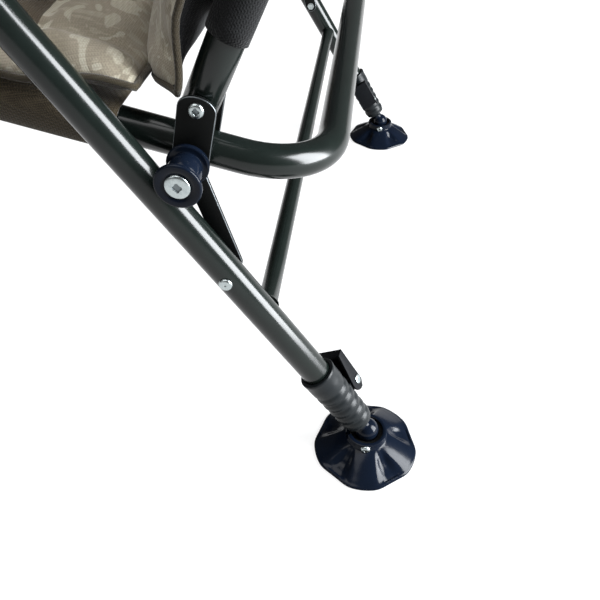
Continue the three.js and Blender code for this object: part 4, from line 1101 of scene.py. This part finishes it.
def arm_pad(label, side):
    """Soft foam sleeve on the arm, gathered a little at its ends, with a seam below."""
    cells, around, bore = 44, 40, 12.9
    start, length, gathered = -36, 204, 9
    x0 = side * LEG_X

    def bore_row(y):
        return [(x0 + bore * math.cos(a), y, bore * math.sin(a)) for a in angles(around)]
    rows = [bore_row(start)]
    for i in range(cells + 1):
        share = i / cells
        y = start - length * share
        end = min(share, 1 - share) * length
        fullness = 1 - (1 - min(1.0, end / gathered)) ** 2
        w = 13.6 + 2.9 * fullness
        h = 13.6 + (2.6 + 2.2 * math.sin(math.pi * share) ** 0.5) * fullness
        row = []
        for a in angles(around):
            q = Vector((math.cos(a) * 1.3, y / 26, math.sin(a) * 1.3 + side * 4))
            slack = noise.noise(q) * 0.7 * fullness
            seam = 1.3 * bell((a - 1.5 * math.pi) * 16, 1.6) * fullness
            r = 1 + (slack - seam) / 16
            row.append((x0 + w * math.cos(a) * r, y, h * math.sin(a) * r))
        rows.append(row)
    rows.append(bore_row(start - length))
    verts = [v for row in rows for v in row]
    obj = piece(f"arm_sleeve_{label}", verts, ring_faces(len(rows), around), ARM, "rear_legs", "foam",
                smooth=75, replaces=(f"arm_pad_{label}",))


# The chair
seat_ring()
back_hoop()
for label, side in SIDES:
    rear_leg(label, side)
    front_leg(label, side)
    bracket(label, side)
    front_hinge(label, side)
    arm_pad(label, side)
    for end in ("rear", "front"):
        inner_leg(end, f"{end}_{label}", side)
        clamp_sleeve(end, f"{end}_{label}", side)
        clamp_lever(end, f"{end}_{label}", side)
        mud_foot(end, f"{end}_{label}", side)
brace("rear_brace_tube", "rear_leg_brace", LEG_X, REAR_BALL, UP_REAR, REAR_BRACE_UP, "rear_legs")
brace("front_brace_tube", "front_leg_brace", FRONT_X, FRONT_BALL, UP_FRONT, FRONT_BRACE_UP, "front_legs")
seat_sling()
back_sling()
seat_cushion()
back_cushion()


# Floor, lights and camera. Places and sizes of the floor and the lights are in metres.
FLOOR_GREY, FLOOR_GLOW, FLOOR_REACH = 0.25, 0.8, 6
WORLD_STRENGTH = 0.17
LAMPS = (("overhead", (0.5, -0.4, 2.8), (0, 0, 0), (2.2, 2.2), 54, (1, 1, 1)),
         ("strip", (0.4, 2.3, 1.1), (0.4, 0, 1.1), (1.3, 2.2), 300, (0.94, 0.97, 1)),
         ("front", (2.2, -1.6, 1.8), (0, 0, 0.4), (1.4, 1.2), 8, (1, 1, 1)))

# The photograph's camera: its place in the chair's own frame in millimetres, its yaw, pitch and roll
# in degrees, and its focal length and picture width in pixels
CAMERA_AT = (649.46, -18.48, 514.07)
CAMERA_TURN = (-7.26, 43.42, 0.92)
FOCAL, WIDTH, SENSOR = 607.91, 600, 36
CLIP_FROM = 0.01


def floor():
    """Pale to the camera and in reflections; a plain grey that keeps shadows to all other rays."""
    m = Nodes("pale_floor")
    m.set(Base_Color=(FLOOR_GREY, FLOOR_GREY, FLOOR_GREY, 1), Roughness=0.9, Specular_IOR_Level=0.1,
          Emission_Color=(1, 1, 1, 1))
    rays = m.node("ShaderNodeLightPath").outputs
    seen = m.math("MAXIMUM", rays["Is Camera Ray"], rays["Is Glossy Ray"])
    seen = m.math("MAXIMUM", seen, rays["Is Transmission Ray"])
    m.set(Emission_Strength=m.math("MULTIPLY", seen, FLOOR_GLOW))
    mesh = bpy.data.meshes.new("floor")
    corners = [(x * FLOOR_REACH, y * FLOOR_REACH, 0) for x, y in ((-1, -1), (1, -1), (1, 1), (-1, 1))]
    mesh.from_pydata(corners, [], [(0, 1, 2, 3)])
    mesh.materials.append(m.mat)
    in_scene("floor", mesh)


def area_light(name, place, at, size, power, color):
    light = bpy.data.lights.new(name, "AREA")
    light.shape = "RECTANGLE"
    light.size, light.size_y = size
    light.energy = power
    light.color = color
    obj = in_scene(name, light)
    obj.location = place
    obj.rotation_euler = (Vector(at) - Vector(place)).to_track_quat("-Z", "Y").to_euler()


def camera():
    yaw, pitch, roll = (math.radians(a) for a in CAMERA_TURN)
    ahead = Vector((-math.cos(pitch) * math.cos(yaw), math.cos(pitch) * math.sin(yaw), -math.sin(pitch)))
    right = ahead.cross(Vector((0, 0, 1))).normalized()
    down = ahead.cross(right)
    r = right * math.cos(roll) + down * math.sin(roll)
    d = down * math.cos(roll) - right * math.sin(roll)
    data = bpy.data.cameras.new("camera")
    data.sensor_width = SENSOR
    data.lens = FOCAL / WIDTH * SENSOR
    data.clip_start = CLIP_FROM
    obj = in_scene("camera", data)
    spin = Matrix((r, -d, -ahead)).transposed().to_4x4()
    obj.matrix_world = Matrix.Translation(WORLD @ Vector(CAMERA_AT)) @ spin
    bpy.context.scene.camera = obj


floor()
camera()
world = bpy.data.worlds.new("studio")
world.use_nodes = True
sky = world.node_tree.nodes["Background"].inputs
sky["Color"].default_value = (1, 1, 1, 1)
sky["Strength"].default_value = WORLD_STRENGTH
bpy.context.scene.world = world
for lamp in LAMPS:
    area_light(*lamp)
bpy.context.scene.view_settings.view_transform = "Standard"
